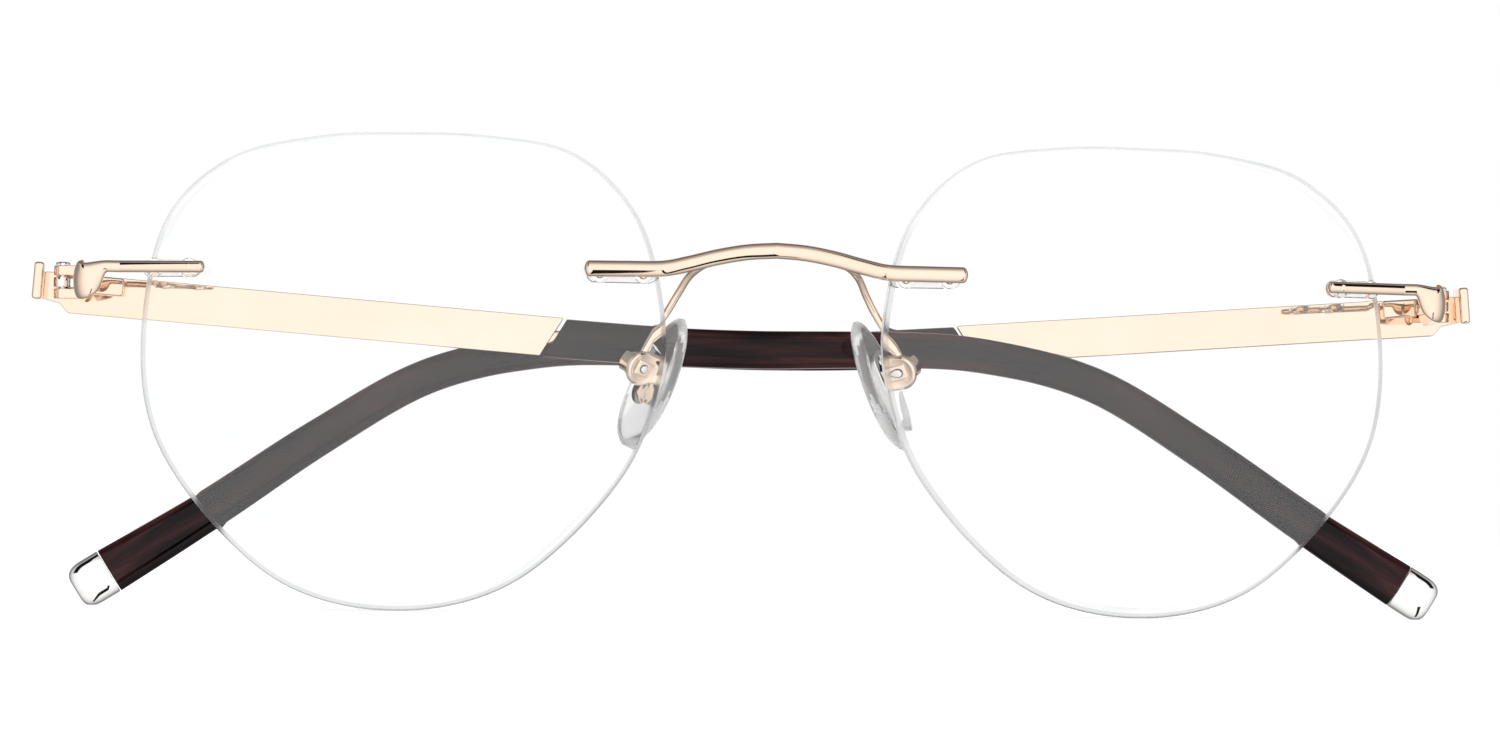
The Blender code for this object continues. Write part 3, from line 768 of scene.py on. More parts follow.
def make_tortoise():
    """Near black acetate with reddish brown flames that run along the sleeve."""
    material, tree, shader = new_material("tortoise_acetate")
    drawn = add(tree, "ShaderNodeAttribute", attribute_name="flow").outputs["Vector"]
    flow = vector(tree, "SCALE", drawn, scale=MM)
    drawn_out = add(tree, "ShaderNodeMapping", {"Vector": flow, "Scale": FLAME_SCALE})
    flames = noise(tree, drawn_out.outputs[0], 1.0, detail=4.0, roughness=0.55, distortion=0.8)
    fine = add(tree, "ShaderNodeMapping", {"Vector": flow, "Scale": THREAD_SCALE})
    threads = noise(tree, fine.outputs[0], 1.0, detail=3.0, distortion=0.4)
    colour = blend_colour(tree, spread(tree, flames, 0.40, 0.60), BLACK_ACETATE, BROWN_FLAME)
    colour = blend_colour(tree, spread(tree, flames, 0.56, 0.72), colour, AMBER_FLAME)
    faint = times(tree, spread(tree, threads, 0.5, 0.8), 0.35)
    colour = blend_colour(tree, faint, colour, BROWN_THREAD)
    feed(tree, shader.inputs["Base Color"], colour)
    height = polish(tree, shader, flow, 0.045, 0.05, 0.25, 0.2, 0.3)
    set_plain(shader, IOR=1.45, Specular_IOR_Level=0.2)
    bump(tree, shader, height, MARK_DEPTH, 0.3)
    return material


tortoise = make_tortoise()
print("acetate nodes:", len(tortoise.node_tree.nodes))

# %% [markdown]
# ## Lenses
# Each lens is a thin curved dish with a flat top and rounded corners. Its outline is given
# as a radius in each direction from the centre, so a curve through fifteen points draws
# it. The edge is ground flat with a small safety chamfer front and back, and four holes are
# drilled through for the mounting pins. Grinding leaves the edge and the holes matt, so they
# carry a greyer finish than the polished faces. Reflections in the gold pass the lenses by,
# which keeps the temple plates even.

# %% Lens
# Lens outline: direction in degrees from the nasal side over the top, and radius
LENS_OUTLINE = [
    (0, 25.1), (18, 26.2), (35, 27.3), (52, 26.8), (70, 24.1), (90, 22.8), (110, 23.8),
    (130, 26.1), (150, 26.4), (180, 24.5), (205, 23.5), (240, 23.1), (270, 22.9),
    (300, 23.0), (335, 23.6),
]
LENS_BEVEL_WIDTH = 0.5
LENS_BEVEL_DEPTH = 0.22
LENS_HOLE_RADIUS = 0.93
# Rings of the dish, as shares of the outline's radius
LENS_RINGS = [0.03, 0.15, 0.3, 0.45, 0.6, 0.75, 0.87, 0.95]
POLISHED_WITHIN = 0.03


def lens_mesh():
    points = []
    for degrees, radius in LENS_OUTLINE:
        angle = math.radians(degrees)
        points.append((-radius * math.cos(angle), radius * math.sin(angle)))
    outline = curve_through(points, per_span=12, closed=True)
    shares = LENS_RINGS + [1 - LENS_BEVEL_WIDTH / (LENS_WIDTH / 2)]
    levels = [(0.0, share) for share in shares] + [(LENS_BEVEL_DEPTH, 1.0)]
    levels += [(LENS_THICKNESS - LENS_BEVEL_DEPTH, 1.0)]
    levels += [(LENS_THICKNESS, share) for share in reversed(shares)]
    rings = []
    for depth, share in levels:
        ring = []
        for out, z in outline:
            x = LENS_CENTRE_X + out * share
            ring.append((x, lens_front_y(x, z * share) + depth, z * share))
        rings.append(ring)
    holes = []
    for x in BRIDGE_PIN_X + ENDPIECE_PIN_X:
        y = lens_front_y(x)
        holes.append(rod((x, y - 2, MOUNT_Z), (x, y + 4, MOUNT_Z), LENS_HOLE_RADIUS))
    return combined("DIFFERENCE", to_mesh(skin(rings)), *holes)


def on_lens_face(word, point):
    """Whether a point in the room lies on the polished front or back of the lens."""
    x, y, z = (PLACE @ side_matrix(word)).inverted() @ point
    depth = y - lens_front_y(x, z)
    return min(abs(depth), abs(depth - LENS_THICKNESS)) < POLISHED_WITHIN


for word in SIDES:
    lens = finish_piece(f"lens_{word}_visual", lens_mesh(), side_matrix(word), lens_glass, "front",
                        "lens", smooth_angle=25)
    lens.visible_glossy = False
    lens.data.materials.append(lens_edge)
    for face in lens.data.polygons:
        polished = all(on_lens_face(word, lens.data.vertices[index].co) for index in face.vertices)
        face.material_index = 0 if polished else 1

# %% [markdown]
# ## Clear double sleeves
# Behind each mount a small clear strip carries two tubes. They line the holes in the lens, so
# that metal never touches glass and the pins are held by friction. The strip is a plate with
# rounded ends and broken edges, joined to its tubes and drilled.

# %% Double sleeves
STRIP_OVERHANG = 1.25
STRIP_HALF_HEIGHT = 0.84
STRIP_CORNER = 0.8
STRIP_LIFT = 0.22
STRIP_BACK = 0.7
TUBE_RADIUS = 0.85
BORE_RADIUS = 0.53


def double_sleeve_mesh(pin_places):
    first, last = pin_places
    middle = (first + last) / 2
    tilt = math.atan2(lens_front_y(last) - lens_front_y(first), last - first)
    half = (last - first) / 2 + STRIP_OVERHANG
    signs = [(1, -1), (1, 1), (-1, 1), (-1, -1)]
    corners = [(half * a, STRIP_HALF_HEIGHT * b, STRIP_CORNER) for a, b in signs]
    strip = plate(rounded_outline(corners), STRIP_LIFT, STRIP_BACK, axis="y", bevel=0.14)
    back = lens_front_y(middle) + LENS_THICKNESS
    strip.transform(Matrix.Translation((middle, back, MOUNT_Z)) @ Matrix.Rotation(tilt, 4, "Z"))
    tubes, bores = [], []
    for x in pin_places:
        front = lens_front_y(x)
        tubes.append(rod((x, front + 0.15, MOUNT_Z), (x, front + 2.3, MOUNT_Z), TUBE_RADIUS))
        bores.append(rod((x, front - 1, MOUNT_Z), (x, front + 4, MOUNT_Z), BORE_RADIUS))
    return combined("DIFFERENCE", combined("UNION", strip, *tubes), *bores)


for word in SIDES:
    for kind, pins in (("bridge", BRIDGE_PIN_X), ("endpiece", ENDPIECE_PIN_X)):
        finish_piece(f"{kind}_sleeve_{word}_visual", double_sleeve_mesh(pins),
                     side_matrix(word), hard_clear, "front", "clear_plastic")

# %% [markdown]
# ## Bridge
# One gold bar runs along the front of both lenses and rises in a low arch over the
# nose, where it also bows forwards a little. It is a swept piece: its section is nearly a
# plain oval, its ends are rounded off, and two pins on each side go back through the lens.

# %% Bridge
BRIDGE_HEIGHT = 1.55
BRIDGE_DEPTH = 1.15
BRIDGE_BOW = 0.3
# Half of the bridge's centre line, as distance from the middle and height
BRIDGE_ROUTE = [
    (18.5, 9.95), (14.6, 10.0), (10.9, 10.1), (8.4, 10.6), (5.6, 11.3), (2.8, 11.8), (0.0, 12.0),
]
PIN_PAST_LENS = 0.7


def mount_pins(pin_places, bar_depth):
    pins = []
    for x in pin_places:
        front = lens_front_y(x)
        start = front - REST_GAP - bar_depth / 2
        end = front + LENS_THICKNESS + PIN_PAST_LENS
        pins.append(rod((x, start, MOUNT_Z), (x, end, MOUNT_Z), PIN_RADIUS, 0.12))
    return pins


def bridge_mesh():
    half = []
    for x, z in curve_through(BRIDGE_ROUTE, per_span=8):
        resting = lens_front_y(max(x, LENS_GAP / 2)) - REST_GAP - BRIDGE_DEPTH / 2
        bow = BRIDGE_BOW * max(0.0, 1 - (2 * x / LENS_GAP) ** 2)
        half.append(Vector((x, resting - bow, z)))
    route = half + [Vector((-point.x, point.y, point.z)) for point in half[-2::-1]]
    bar = swept_bar(route, BRIDGE_DEPTH / 2, BRIDGE_HEIGHT / 2, gold, rounds=(0.5, 0.5),
                    spacing=0.3, squareness=2.05)
    pins = mount_pins(BRIDGE_PIN_X, BRIDGE_DEPTH)
    for pin in mount_pins(BRIDGE_PIN_X, BRIDGE_DEPTH):
        pin.transform(side_matrix("right"))
        pin.flip_normals()
        pins.append(pin)
    return together(bar, *pins)


finish_piece("bridge_visual", bridge_mesh(), Matrix.Identity(4), gold, "front", "gold")

# %% [markdown]
# ## Endpieces
# At each outer edge a slimmer bar runs along the lens and turns back at the corner. It grows
# downwards into a taller wall as it turns, while its top stays level, and the wall carries the
# two leaves of the hinge. One sweep draws the whole bent strip, and the leaves are plates
# with a round eye.

# %% Endpieces
ENDPIECE_HEIGHT = 1.15
ENDPIECE_DEPTH = 1.0
ENDPIECE_BAR_X = [54.5 + step / 2 for step in range(17)]
ENDPIECE_ROUNDS = (0.35, 0.3)
WALL_X = 66.35
WALL_HALF_HEIGHT = 1.98
CORNER_RADIUS = 1.0
FLARE_LENGTH = 2.5
FLARE_PAST_CORNER = 0.3
WALL_WIDENING = 0.13
WALL_END_GAP = 1.2
LEAF_RADIUS = 0.9
LEAF_INNER = 0.64
LEAF_OUTER = 1.6
SCREW_HOLE_RADIUS = 0.42


def endpiece_bar():
    """Bar, corner and wall as one bent strip that grows taller round the corner."""
    route = [Vector((x, lens_front_y(x) - REST_GAP - ENDPIECE_DEPTH / 2, 0)) for x in ENDPIECE_BAR_X]
    y = route[-1].y
    for step in range(13):
        angle = math.pi / 2 * step / 12
        route.append(Vector((
            WALL_X - CORNER_RADIUS + CORNER_RADIUS * math.sin(angle),
            y + CORNER_RADIUS * (1 - math.cos(angle)), 0,
        )))
    route.append(Vector((WALL_X, HINGE.y - WALL_END_GAP, 0)))
    found, total = stations(route, *ENDPIECE_ROUNDS, spacing=0.12)
    corner = total - (HINGE.y - WALL_END_GAP - y)
    top = MOUNT_Z + 0.05 + ENDPIECE_HEIGHT / 2
    full = (top - HINGE.z + WALL_HALF_HEIGHT) / 2
    widths, heights, line = [], [], []
    for point, distance in found:
        scale = end_scale(distance, total, *ENDPIECE_ROUNDS)
        past = distance - corner - FLARE_PAST_CORNER + FLARE_LENGTH
        grown = max(0.0, min(1.0, past / FLARE_LENGTH))
        flare = grown * grown * (3 - 2 * grown)
        half = ENDPIECE_HEIGHT / 2 + (full - ENDPIECE_HEIGHT / 2) * flare
        heights.append(scale * half)
        widths.append(scale * (ENDPIECE_DEPTH / 2 + WALL_WIDENING * flare))
        line.append(Vector((point.x, point.y, top - half)))
    return swept(line, widths, heights, gold, squareness=2.1, sides=48)


def leaf(low, high):
    """Hinge leaf between two heights: a root against the wall and a round eye for the screw."""
    offsets = [
        (-2.0, -0.45), (-2.1, -1.1), (-2.1, -2.0), (-1.45, -2.0), (-1.45, -1.18), (0.3, -1.18),
        (0.8, -0.7),
    ]
    for step in range(25):
        angle = math.pi * step / 24
        offsets.append((LEAF_RADIUS * math.cos(angle), LEAF_RADIUS * math.sin(angle)))
    outline = [(HINGE.x + x, HINGE.y + y) for x, y in offsets]
    solid = plate(outline, HINGE.z + low, HINGE.z + high, bevel=0.09)
    hole = rod(HINGE + Vector((0, 0, low - 1)), HINGE + Vector((0, 0, high + 1)), SCREW_HOLE_RADIUS)
    return combined("DIFFERENCE", solid, hole)


def endpiece_mesh():
    """Bent bar with its two leaves, its pins, and the head of the inner pin on its face."""
    leaves = [leaf(LEAF_INNER, LEAF_OUTER), leaf(-LEAF_OUTER, -LEAF_INNER)]
    inner_pin = ENDPIECE_PIN_X[0]
    face = lens_front_y(inner_pin) - REST_GAP - ENDPIECE_DEPTH
    rivet = rod((inner_pin, face + 0.2, MOUNT_Z), (inner_pin, face - 0.03, MOUNT_Z), 0.3, 0.04, 24)
    return together(endpiece_bar(), rivet, *leaves, *mount_pins(ENDPIECE_PIN_X, ENDPIECE_DEPTH))


on_both_sides(("endpiece", endpiece_mesh, side_matrix, gold, "front", "gold"))

# %% [markdown]
# ## Hinge: screw, slider, spring and box
# The temple hinge is sprung. A slider knuckle turns on the screw between the leaves, and its
# rod reaches into a box on the temple, where a small coil spring pulls it back. The screw is
# turned with a domed head and a cut slot, and the coil is the swept section along a helix.


# %% Hinge screw
SCREW_RADIUS = 0.35
SCREW_HEAD_RADIUS = 0.72


def hinge_screw_mesh():
    """Plain shank with a domed, slotted head just above the upper leaf."""
    top = LEAF_OUTER + REST_GAP
    profile = [
        (-LEAF_OUTER, 0), (-LEAF_OUTER, 0.29), (-LEAF_OUTER + 0.06, SCREW_RADIUS),
        (top, SCREW_RADIUS), (top, SCREW_HEAD_RADIUS),
    ]
    for step in range(1, 8):
        angle = math.pi / 2 * step / 8
        height = top + 0.06 + 0.24 * math.sin(angle)
        profile.append((height, SCREW_HEAD_RADIUS * math.cos(angle) ** 0.35))
    profile.append((top + 0.3, 0))
    screw = turned(profile, (0, 0, 0), (0, 0, 1))
    slot = box((-1, -0.1, top + 0.14), (1, 0.1, top + 0.6))
    return combined("DIFFERENCE", screw, slot)


def at_hinge(word):
    return side_matrix(word) @ Matrix.Translation(HINGE)


on_both_sides(("hinge_screw", hinge_screw_mesh, at_hinge, steel, "front", "steel"))


# %% Slider and spring
BOX_U = (2.45, 5.9)
BOX_HALF = 0.88
BOX_SHOULDER_U = (3.45, 3.75)
CAVITY_HALF = 0.6
SPRING_TRAVEL = 0.5
SPRING_END_U = 4.9
SPRING_TURNS = 4
SPRING_RADIUS = 0.38
SPRING_WIRE_RADIUS = 0.055
TURN_STEPS = 24
KNUCKLE_HALF = 0.5


def slider_mesh():
    """Level knuckle on the screw, with a neck, rod and end disc that follow the temple's slope."""
    knuckle = rod((0, 0, -KNUCKLE_HALF), (0, 0, KNUCKLE_HALF), LEAF_RADIUS, 0.08)
    neck = box((0.3, -0.45, -0.42), (BOX_SHOULDER_U[0] - 0.15, 0.45, 0.42), bevel=0.06)
    shaft = rod((3.0, 0, 0), (SPRING_END_U + 0.2, 0, 0), 0.2)
    head = rod((SPRING_END_U + 0.05, 0, 0), (SPRING_END_U + 0.3, 0, 0), 0.48)
    for piece in (neck, shaft, head):
        piece.transform(Matrix.Rotation(TEMPLE_SLOPE, 4, "Y"))
    solid = combined("UNION", knuckle, neck, shaft, head)
    return combined("DIFFERENCE", solid, rod((0, 0, -2), (0, 0, 2), SCREW_HOLE_RADIUS))


def spring_mesh():
    """Coil round the slider's rod, drawn pressed."""
    start = BOX_SHOULDER_U[1] + SPRING_TRAVEL + 0.1
    end = SPRING_END_U - 0.06
    line = []
    for step in range(SPRING_TURNS * TURN_STEPS + 1):
        angle = 2 * math.pi * step / TURN_STEPS
        along = start + (end - start) * step / (SPRING_TURNS * TURN_STEPS)
        line.append(Vector((along, SPRING_RADIUS * math.cos(angle), SPRING_RADIUS * math.sin(angle))))
    wire = [SPRING_WIRE_RADIUS] * len(line)
    return swept(line, wire, wire, steel, up=(1, 0, 0), squareness=2.0, sides=12)


def level_temple(word):
    return temple_matrix(word, 0.0)


on_both_sides(
    ("hinge_slider", slider_mesh, level_temple, steel, "slider", "steel"),
    ("hinge_spring", spring_mesh, temple_matrix, steel, "slider", "steel"),
)


# %% Spring box
def spring_box_mesh():
    """Box with an open mouth for the neck and a chamber for the coil, with a shoulder between."""
    start, end = BOX_U
    near, far = BOX_SHOULDER_U
    body = box((start, -BOX_HALF, -BOX_HALF), (end, BOX_HALF, BOX_HALF), bevel=0.24, segments=5)
    mouth = box((start - 1, -CAVITY_HALF, -CAVITY_HALF), (near, CAVITY_HALF, CAVITY_HALF))
    chamber = box((far, -CAVITY_HALF, -CAVITY_HALF), (end - 0.3, CAVITY_HALF, CAVITY_HALF))
    passage = rod((near - 0.2, 0, 0), (far + 0.2, 0, 0), 0.3, 0.01, 24)
    return combined("DIFFERENCE", body, mouth, chamber, passage)


on_both_sides(("spring_box", spring_box_mesh, temple_matrix, gold, "temple", "gold"))

# %% [markdown]
# ## Temples
# Each temple starts as a flat gold plate with a small flange that closes the hinge. It ends
# on a slant, where a core wire carries on inside the acetate sleeve. The sleeve is swept along
# its own bend, narrows towards the bend and widens to the silver cap, and its first sections
# lean to meet the slant. Cutting the bore for the wire loses the coordinates along the sleeve
# that the flames need, so they are given back from the nearest points of the uncut sleeve.

# %% Temple plate
PLATE_HEIGHT = 3.85
PLATE_INNER_V = 1.0
PLATE_OUTER_V = 1.95
PLATE_CENTRE_W = -0.95
PLATE_END_U = 47.7
JUNCTION_SLANT = 0.53
# Sleeve centre line beyond the plate, as distance from the hinge and height above it
SLEEVE_ROUTE = [
    (47.8, -4.65), (58.0, -5.25), (68.0, -5.45), (80.0, -5.3), (90.0, -5.75),
    (101.0, -8.4), (111.5, -14.5), (122.5, -22.0), (135.1, -29.95),
]
# Sleeve height at shares of its length
SLEEVE_TAPER = [(0.0, 3.9), (0.25, 3.75), (0.5, 3.35), (0.68, 3.6), (0.85, 4.0), (0.96, 4.55), (1.0, 4.6)]
SLEEVE_THICKNESS = 2.4
SLEEVE_INWARD = 1.5
CORE_THICKNESS = 0.85
CORE_WIDTH = 1.5
CORE_GAP = 0.12
# Points of the centre line that the core leaves free before the cap, and sections of the
# sleeve that its bore leaves solid there
CORE_POINTS_SHORT = 14
BORE_SECTIONS_SHORT = 16
# Share of the taper that is reached where the sleeve meets the cap
SEAM_SHARE = 0.96
LEAN_LENGTH = 5.0
CAP_LENGTH = 3.8
CAP_END_SCALE = 0.45
CAP_CURVE = 2.4


def sleeve_route():
    """Centre line from the plate to the tip, bending inwards towards the tip."""
    level = curve_through(SLEEVE_ROUTE, per_span=8)
    start, length = level[0][0], level[-1][0] - level[0][0]
    outward = (PLATE_INNER_V + PLATE_OUTER_V) / 2
    unsloped = Matrix.Rotation(-TEMPLE_SLOPE, 3, "Y")
    route = []
    for u, w in level:
        share = (u - start) / length
        route.append(unsloped @ Vector((u, outward - SLEEVE_INWARD * share ** 2, w)))
    return route


def sleeve_height(share):
    return float(numpy.interp(share, *zip(*SLEEVE_TAPER)))


full_route = sleeve_route()
cap_direction = (full_route[-1] - full_route[-3]).normalized()
cap_seam = full_route[-1] - cap_direction * CAP_LENGTH
clear_of_cap = [p for p in full_route if (p - cap_seam).dot(cap_direction) < -0.6]
sleeve_line = clear_of_cap + [cap_seam]


def temple_plate_mesh():
    """Flat plate with its slanted end, the flange at the hinge, and the core wire."""
    top = PLATE_CENTRE_W + PLATE_HEIGHT / 2
    bottom = PLATE_CENTRE_W - PLATE_HEIGHT / 2
    lean = JUNCTION_SLANT * PLATE_HEIGHT / 2
    corners = [
        (-1.9, top, 0.25), (-1.9, -1.7, 0.1), (-0.2, -2.0, 0.3), (0.6, bottom, 0.8),
        (PLATE_END_U - lean, bottom, 0.15), (PLATE_END_U + lean, top, 0.15),
    ]
    solid = plate(rounded_outline(corners), PLATE_INNER_V, PLATE_OUTER_V, axis="y", bevel=0.16,
                  segments=4)
    flange = box((-2.8, -1.15, -1.85), (-1.85, PLATE_OUTER_V, 1.75), bevel=0.27, segments=5)
    core_line = [full_route[0] - Vector((1.2, 0, 0))] + sleeve_line[:-CORE_POINTS_SHORT]
    core = swept_bar(core_line, CORE_THICKNESS / 2, CORE_WIDTH / 2, gold, rounds=(0, 0.4),
                     spacing=1.2, squareness=2.8, sides=24)
    return together(solid, flange, core)


on_both_sides(("temple_plate", temple_plate_mesh, temple_matrix, gold, "temple", "gold"), smooth_angle=40)


# %% Acetate sleeve
def sleeve_mesh():
    """Acetate sleeve, leaning at its start, with the bore for the core wire."""
    found, total = stations(sleeve_line, spacing=0.8)
    line, widths, heights, leans = [], [], [], []
    for point, distance in found:
        share = distance / total
        line.append(point)
        widths.append(SLEEVE_THICKNESS / 2)
        heights.append(sleeve_height(share * SEAM_SHARE) / 2)
        leans.append(Vector((JUNCTION_SLANT * max(0.0, 1 - distance / LEAN_LENGTH), 0, 0)))
    outer = swept(line, widths, heights, tortoise, squareness=2.7, sides=64, leans=leans)
    count = len(line) - BORE_SECTIONS_SHORT
    bore = swept(
        [line[0] - Vector((0.5, 0, 0))] + line[1:count],
        [CORE_THICKNESS / 2 + CORE_GAP] * count, [CORE_WIDTH / 2 + CORE_GAP] * count,
        tortoise, squareness=2.8, sides=24,
    )
    drawn = [(vertex.co.copy(), Vector(value.vector))
             for vertex, value in zip(outer.vertices, outer.attributes["flow"].data)]
    return with_flow(combined("DIFFERENCE", outer, bore), drawn)


def with_flow(mesh, drawn):
    """Give a cut mesh the lengthwise coordinates of the nearest points of the uncut one."""
    finder = KDTree(len(drawn))
    for index, (place, _) in enumerate(drawn):
        finder.insert(place, index)
    finder.balance()
    if "flow" not in mesh.attributes:
        mesh.attributes.new("flow", "FLOAT_VECTOR", "POINT")
    for vertex, value in zip(mesh.vertices, mesh.attributes["flow"].data):
        value.vector = drawn[finder.find(vertex.co)[1]][1]
    return mesh


on_both_sides(("temple_sleeve", sleeve_mesh, temple_matrix, tortoise, "temple", "tortoise"))


# %% Silver tip cap
def tip_cap_mesh():
    """Cap with the sleeve's section, straight for half its length and then rounded off."""
    start = cap_seam + cap_direction * REST_GAP
    end = full_route[-1]
    full_until = 0.5
    shares = [0.0, 0.02, 0.25, full_until]
    shares += [full_until + (1 - full_until) * math.sin(math.pi / 2 * step / 14) for step in range(1, 15)]
    line, widths, heights = [], [], []
    for share in shares:
        past = max(0.0, (share - full_until) / (1 - full_until))
        round_off = (1 - past ** CAP_CURVE) ** (1 / CAP_CURVE) if past < 1 else 0.0
        scale = (0.97 if share == 0.0 else 1.0) * (CAP_END_SCALE + (1 - CAP_END_SCALE) * round_off)
        line.append(start.lerp(end, share))
        widths.append(SLEEVE_THICKNESS / 2 * scale)
        heights.append(sleeve_height(1.0) / 2 * scale)
    return swept(line, widths, heights, steel, squareness=2.8, sides=64)


on_both_sides(("tip_cap", tip_cap_mesh, temple_matrix, steel, "temple", "steel"))

# %% [markdown]
# ## Nose pads
# A thin gold arm curves back from the bridge to a round cup, and a small screw across the cup
# holds the pad, so that it can rock to fit the nose. The pad is a soft clear teardrop on a
# little metal plate, and its rim carries a milkier finish that paints on a white rim highlight.
# It has a frame of its own: across it, down it, and out of the face that bears on the nose.

# %% Pad frame and arm
PAD_ARM_RADIUS = 0.36
PAD_CENTRE = Vector((11.1, 8.1, -0.6))
PAD_DOWN = Vector((5.5, 1.4, -12.3)).normalized()
PAD_FACING = Vector((-0.80, 0.52, -0.26))
PAD_FACING = (PAD_FACING - PAD_DOWN * PAD_FACING.dot(PAD_DOWN)).normalized()
PAD_ACROSS = PAD_FACING.cross(PAD_DOWN).normalized()
PAD_LENGTH = 13.6
PAD_WIDTH = 7.3
PAD_THICKNESS = 1.5
# The pad's top end is narrower than its bottom end by twice this share
PAD_TAPER = 0.14
# Share of the pad's size at which its rim begins
PAD_RIM_FROM = 0.86
PAD_SIDES = 72
# Rings of the cushion: height as a share of its thickness, and share of the outline
PAD_RINGS = [
    (-0.5, 0.70), (-0.5, 0.82), (-0.44, 0.90), (-0.33, 0.96), (-0.15, 0.995), (0.0, 1.0), (0.15, 0.97),
    (0.32, 0.91), (0.46, 0.8), (0.58, 0.65), (0.66, 0.45), (0.70, 0.22), (0.71, 0.06),
]
PAD_EYE = Vector((0.6, -0.8, -3.0))
CUP_RADIUS = 1.75
PAD_SCREW_RADIUS = 0.38
PAD_SCREW_BORE = PAD_SCREW_RADIUS + 0.07
PAD_TURN = Matrix((PAD_ACROSS, PAD_DOWN, PAD_FACING)).transposed().to_4x4()
PAD_MATRIX = Matrix.Translation(PAD_CENTRE) @ PAD_TURN
PAD_AXIS = PAD_MATRIX @ PAD_EYE
CUP_MATRIX = Matrix.Translation(PAD_AXIS) @ PAD_TURN


def pad_arm_mesh():
    """Wire from the bridge, out and back round the lens's edge, to the cup."""
    route = curve_through([
        (6.5, 1.3, 10.75), (7.4, 1.95, 10.25), (8.3, 3.2, 9.4), (9.1, 4.4, 8.0), (10.0, 5.0, 6.4),
        (11.3, 5.1, 4.3), PAD_AXIS + Vector((-0.3, -0.8, 1.2)),
    ])
    return swept_bar(route, PAD_ARM_RADIUS, PAD_ARM_RADIUS, gold, rounds=(0.2, 0.3), spacing=0.25,
                     up=(1, 0, 0), squareness=2.2, sides=28)


on_both_sides(("pad_arm", pad_arm_mesh, side_matrix, gold, "front", "gold"))


# %% Pad cup and screw
# Distance along the screw and share of the cup's radius
CUP_PROFILE = [
    (0, 0), (0, 0.9), (0.06, 1), (0.2, 1), (0.4, 0.93), (0.52, 0.84), (0.5, 0.76), (0.4, 0.68),
    (0.36, 0.4), (0.36, 0),
]
WEB_RADIUS = 1.66


def pad_box_mesh():
    """Dished cup on one side of the pad's lug, a smaller cheek on the other, joined by a web."""
    cup = turned([(along, CUP_RADIUS * share) for along, share in CUP_PROFILE], (0.48, 0, 0), (1, 0, 0))
    boss = box((0.5, -0.75, -0.8), (1.0, 0.75, 0.8), bevel=0.16)
    cheek = rod((-1.0, 0, 0), (-0.48, 0, 0), CUP_RADIUS * 0.7, 0.12)
    arc = [math.radians(angle) for angle in range(-36, 37, 6)]
    web_outline = [(WEB_RADIUS * math.sin(angle), -WEB_RADIUS * math.cos(angle)) for angle in arc]
    web = plate(web_outline, -0.95, 0.9, bevel=0.12)
    web.transform(Matrix(((0, 0, 1, 0), (1, 0, 0, 0), (0, 1, 0, 0), (0, 0, 0, 1))))
    bore = rod((-3, 0, 0), (3, 0, 0), PAD_SCREW_BORE)
    return combined("DIFFERENCE", combined("UNION", cup, boss, web, cheek), bore)


def pad_screw_mesh():
    """Slotted cheese head, plain shank and chamfered end."""
    head = [(-1.4, 0), (-1.4, 0.5), (-1.34, 0.62), (-1.26, 0.65), (-1.1, 0.65), (-1.08, 0.6)]
    shank = [(-1.08, PAD_SCREW_RADIUS), (1.1, PAD_SCREW_RADIUS), (1.17, 0.33), (1.2, 0.2), (1.2, 0)]
    screw = turned(head + shank, (0, 0, 0), (1, 0, 0))
    return combined("DIFFERENCE", screw, box((-1.8, -1, -0.09), (-1.26, 1, 0.09)))


def at_cup(word):
    return side_matrix(word) @ CUP_MATRIX


on_both_sides(
    ("pad_box", pad_box_mesh, at_cup, gold, "front", "gold"),
    ("pad_screw", pad_screw_mesh, at_cup, steel, "front", "steel"),
)


# %% Pad and its insert
def nose_pad_mesh():
    """Teardrop cushion, crowned where it bears and softly rounded all round its edge."""
    rings = []
    for height, scale in PAD_RINGS:
        ring = []
        for down, across in around(PAD_SIDES):
            width = PAD_WIDTH / 2 * across * (1 - PAD_TAPER + PAD_TAPER * down)
            ring.append((width * scale, PAD_LENGTH / 2 * down * scale, height * PAD_THICKNESS))
        rings.append(ring)
    return to_mesh(skin(rings))


def pad_insert_mesh():
    """Plate on the pad's back with a window, and a lug whose round eye turns on the screw."""
    back = -PAD_THICKNESS / 2 - REST_GAP
    eye = PAD_EYE
    corners = [(1.5, -3.4, 1.2), (1.5, 2.6, 1.4), (-1.5, 2.6, 1.4), (-1.5, -3.4, 1.2)]
    base = plate(rounded_outline(corners), back - 0.25, back, bevel=0.07)
    gap = [(0.55, -2.9, 0.4), (0.55, -1.9, 0.4), (-0.55, -1.9, 0.4), (-0.55, -2.9, 0.4)]
    window = plate(rounded_outline(gap), back - 1, back + 1)
    lug = box((eye.x - 0.38, eye.y - 0.6, eye.z), (eye.x + 0.38, eye.y + 0.6, back - 0.1), bevel=0.08)
    knob = rod(eye - Vector((0.38, 0, 0)), eye + Vector((0.38, 0, 0)), 0.85, 0.08)
    bore = rod(eye - Vector((3, 0, 0)), eye + Vector((3, 0, 0)), PAD_SCREW_BORE)
    return combined("DIFFERENCE", combined("UNION", base, lug, knob), window, bore)


for word in SIDES:
    at_pad = side_matrix(word) @ PAD_MATRIX
    pad = finish_piece(f"nose_pad_{word}_visual", nose_pad_mesh(), at_pad, soft_clear, f"pad_{word}",
                       "silicone")
    pad.data.materials.append(soft_rim_highlight)
    to_pad = (PLACE @ at_pad).inverted()
    # Faces near the rim take the milkier finish, a painted rim highlight
    for face in pad.data.polygons:
        x, y, _ = to_pad @ face.center
        if math.hypot(2 * x / PAD_WIDTH, 2 * y / PAD_LENGTH) > PAD_RIM_FROM:
            face.material_index = 1
    finish_piece(f"pad_insert_{word}_visual", pad_insert_mesh(), at_pad, steel, f"pad_{word}", "steel")

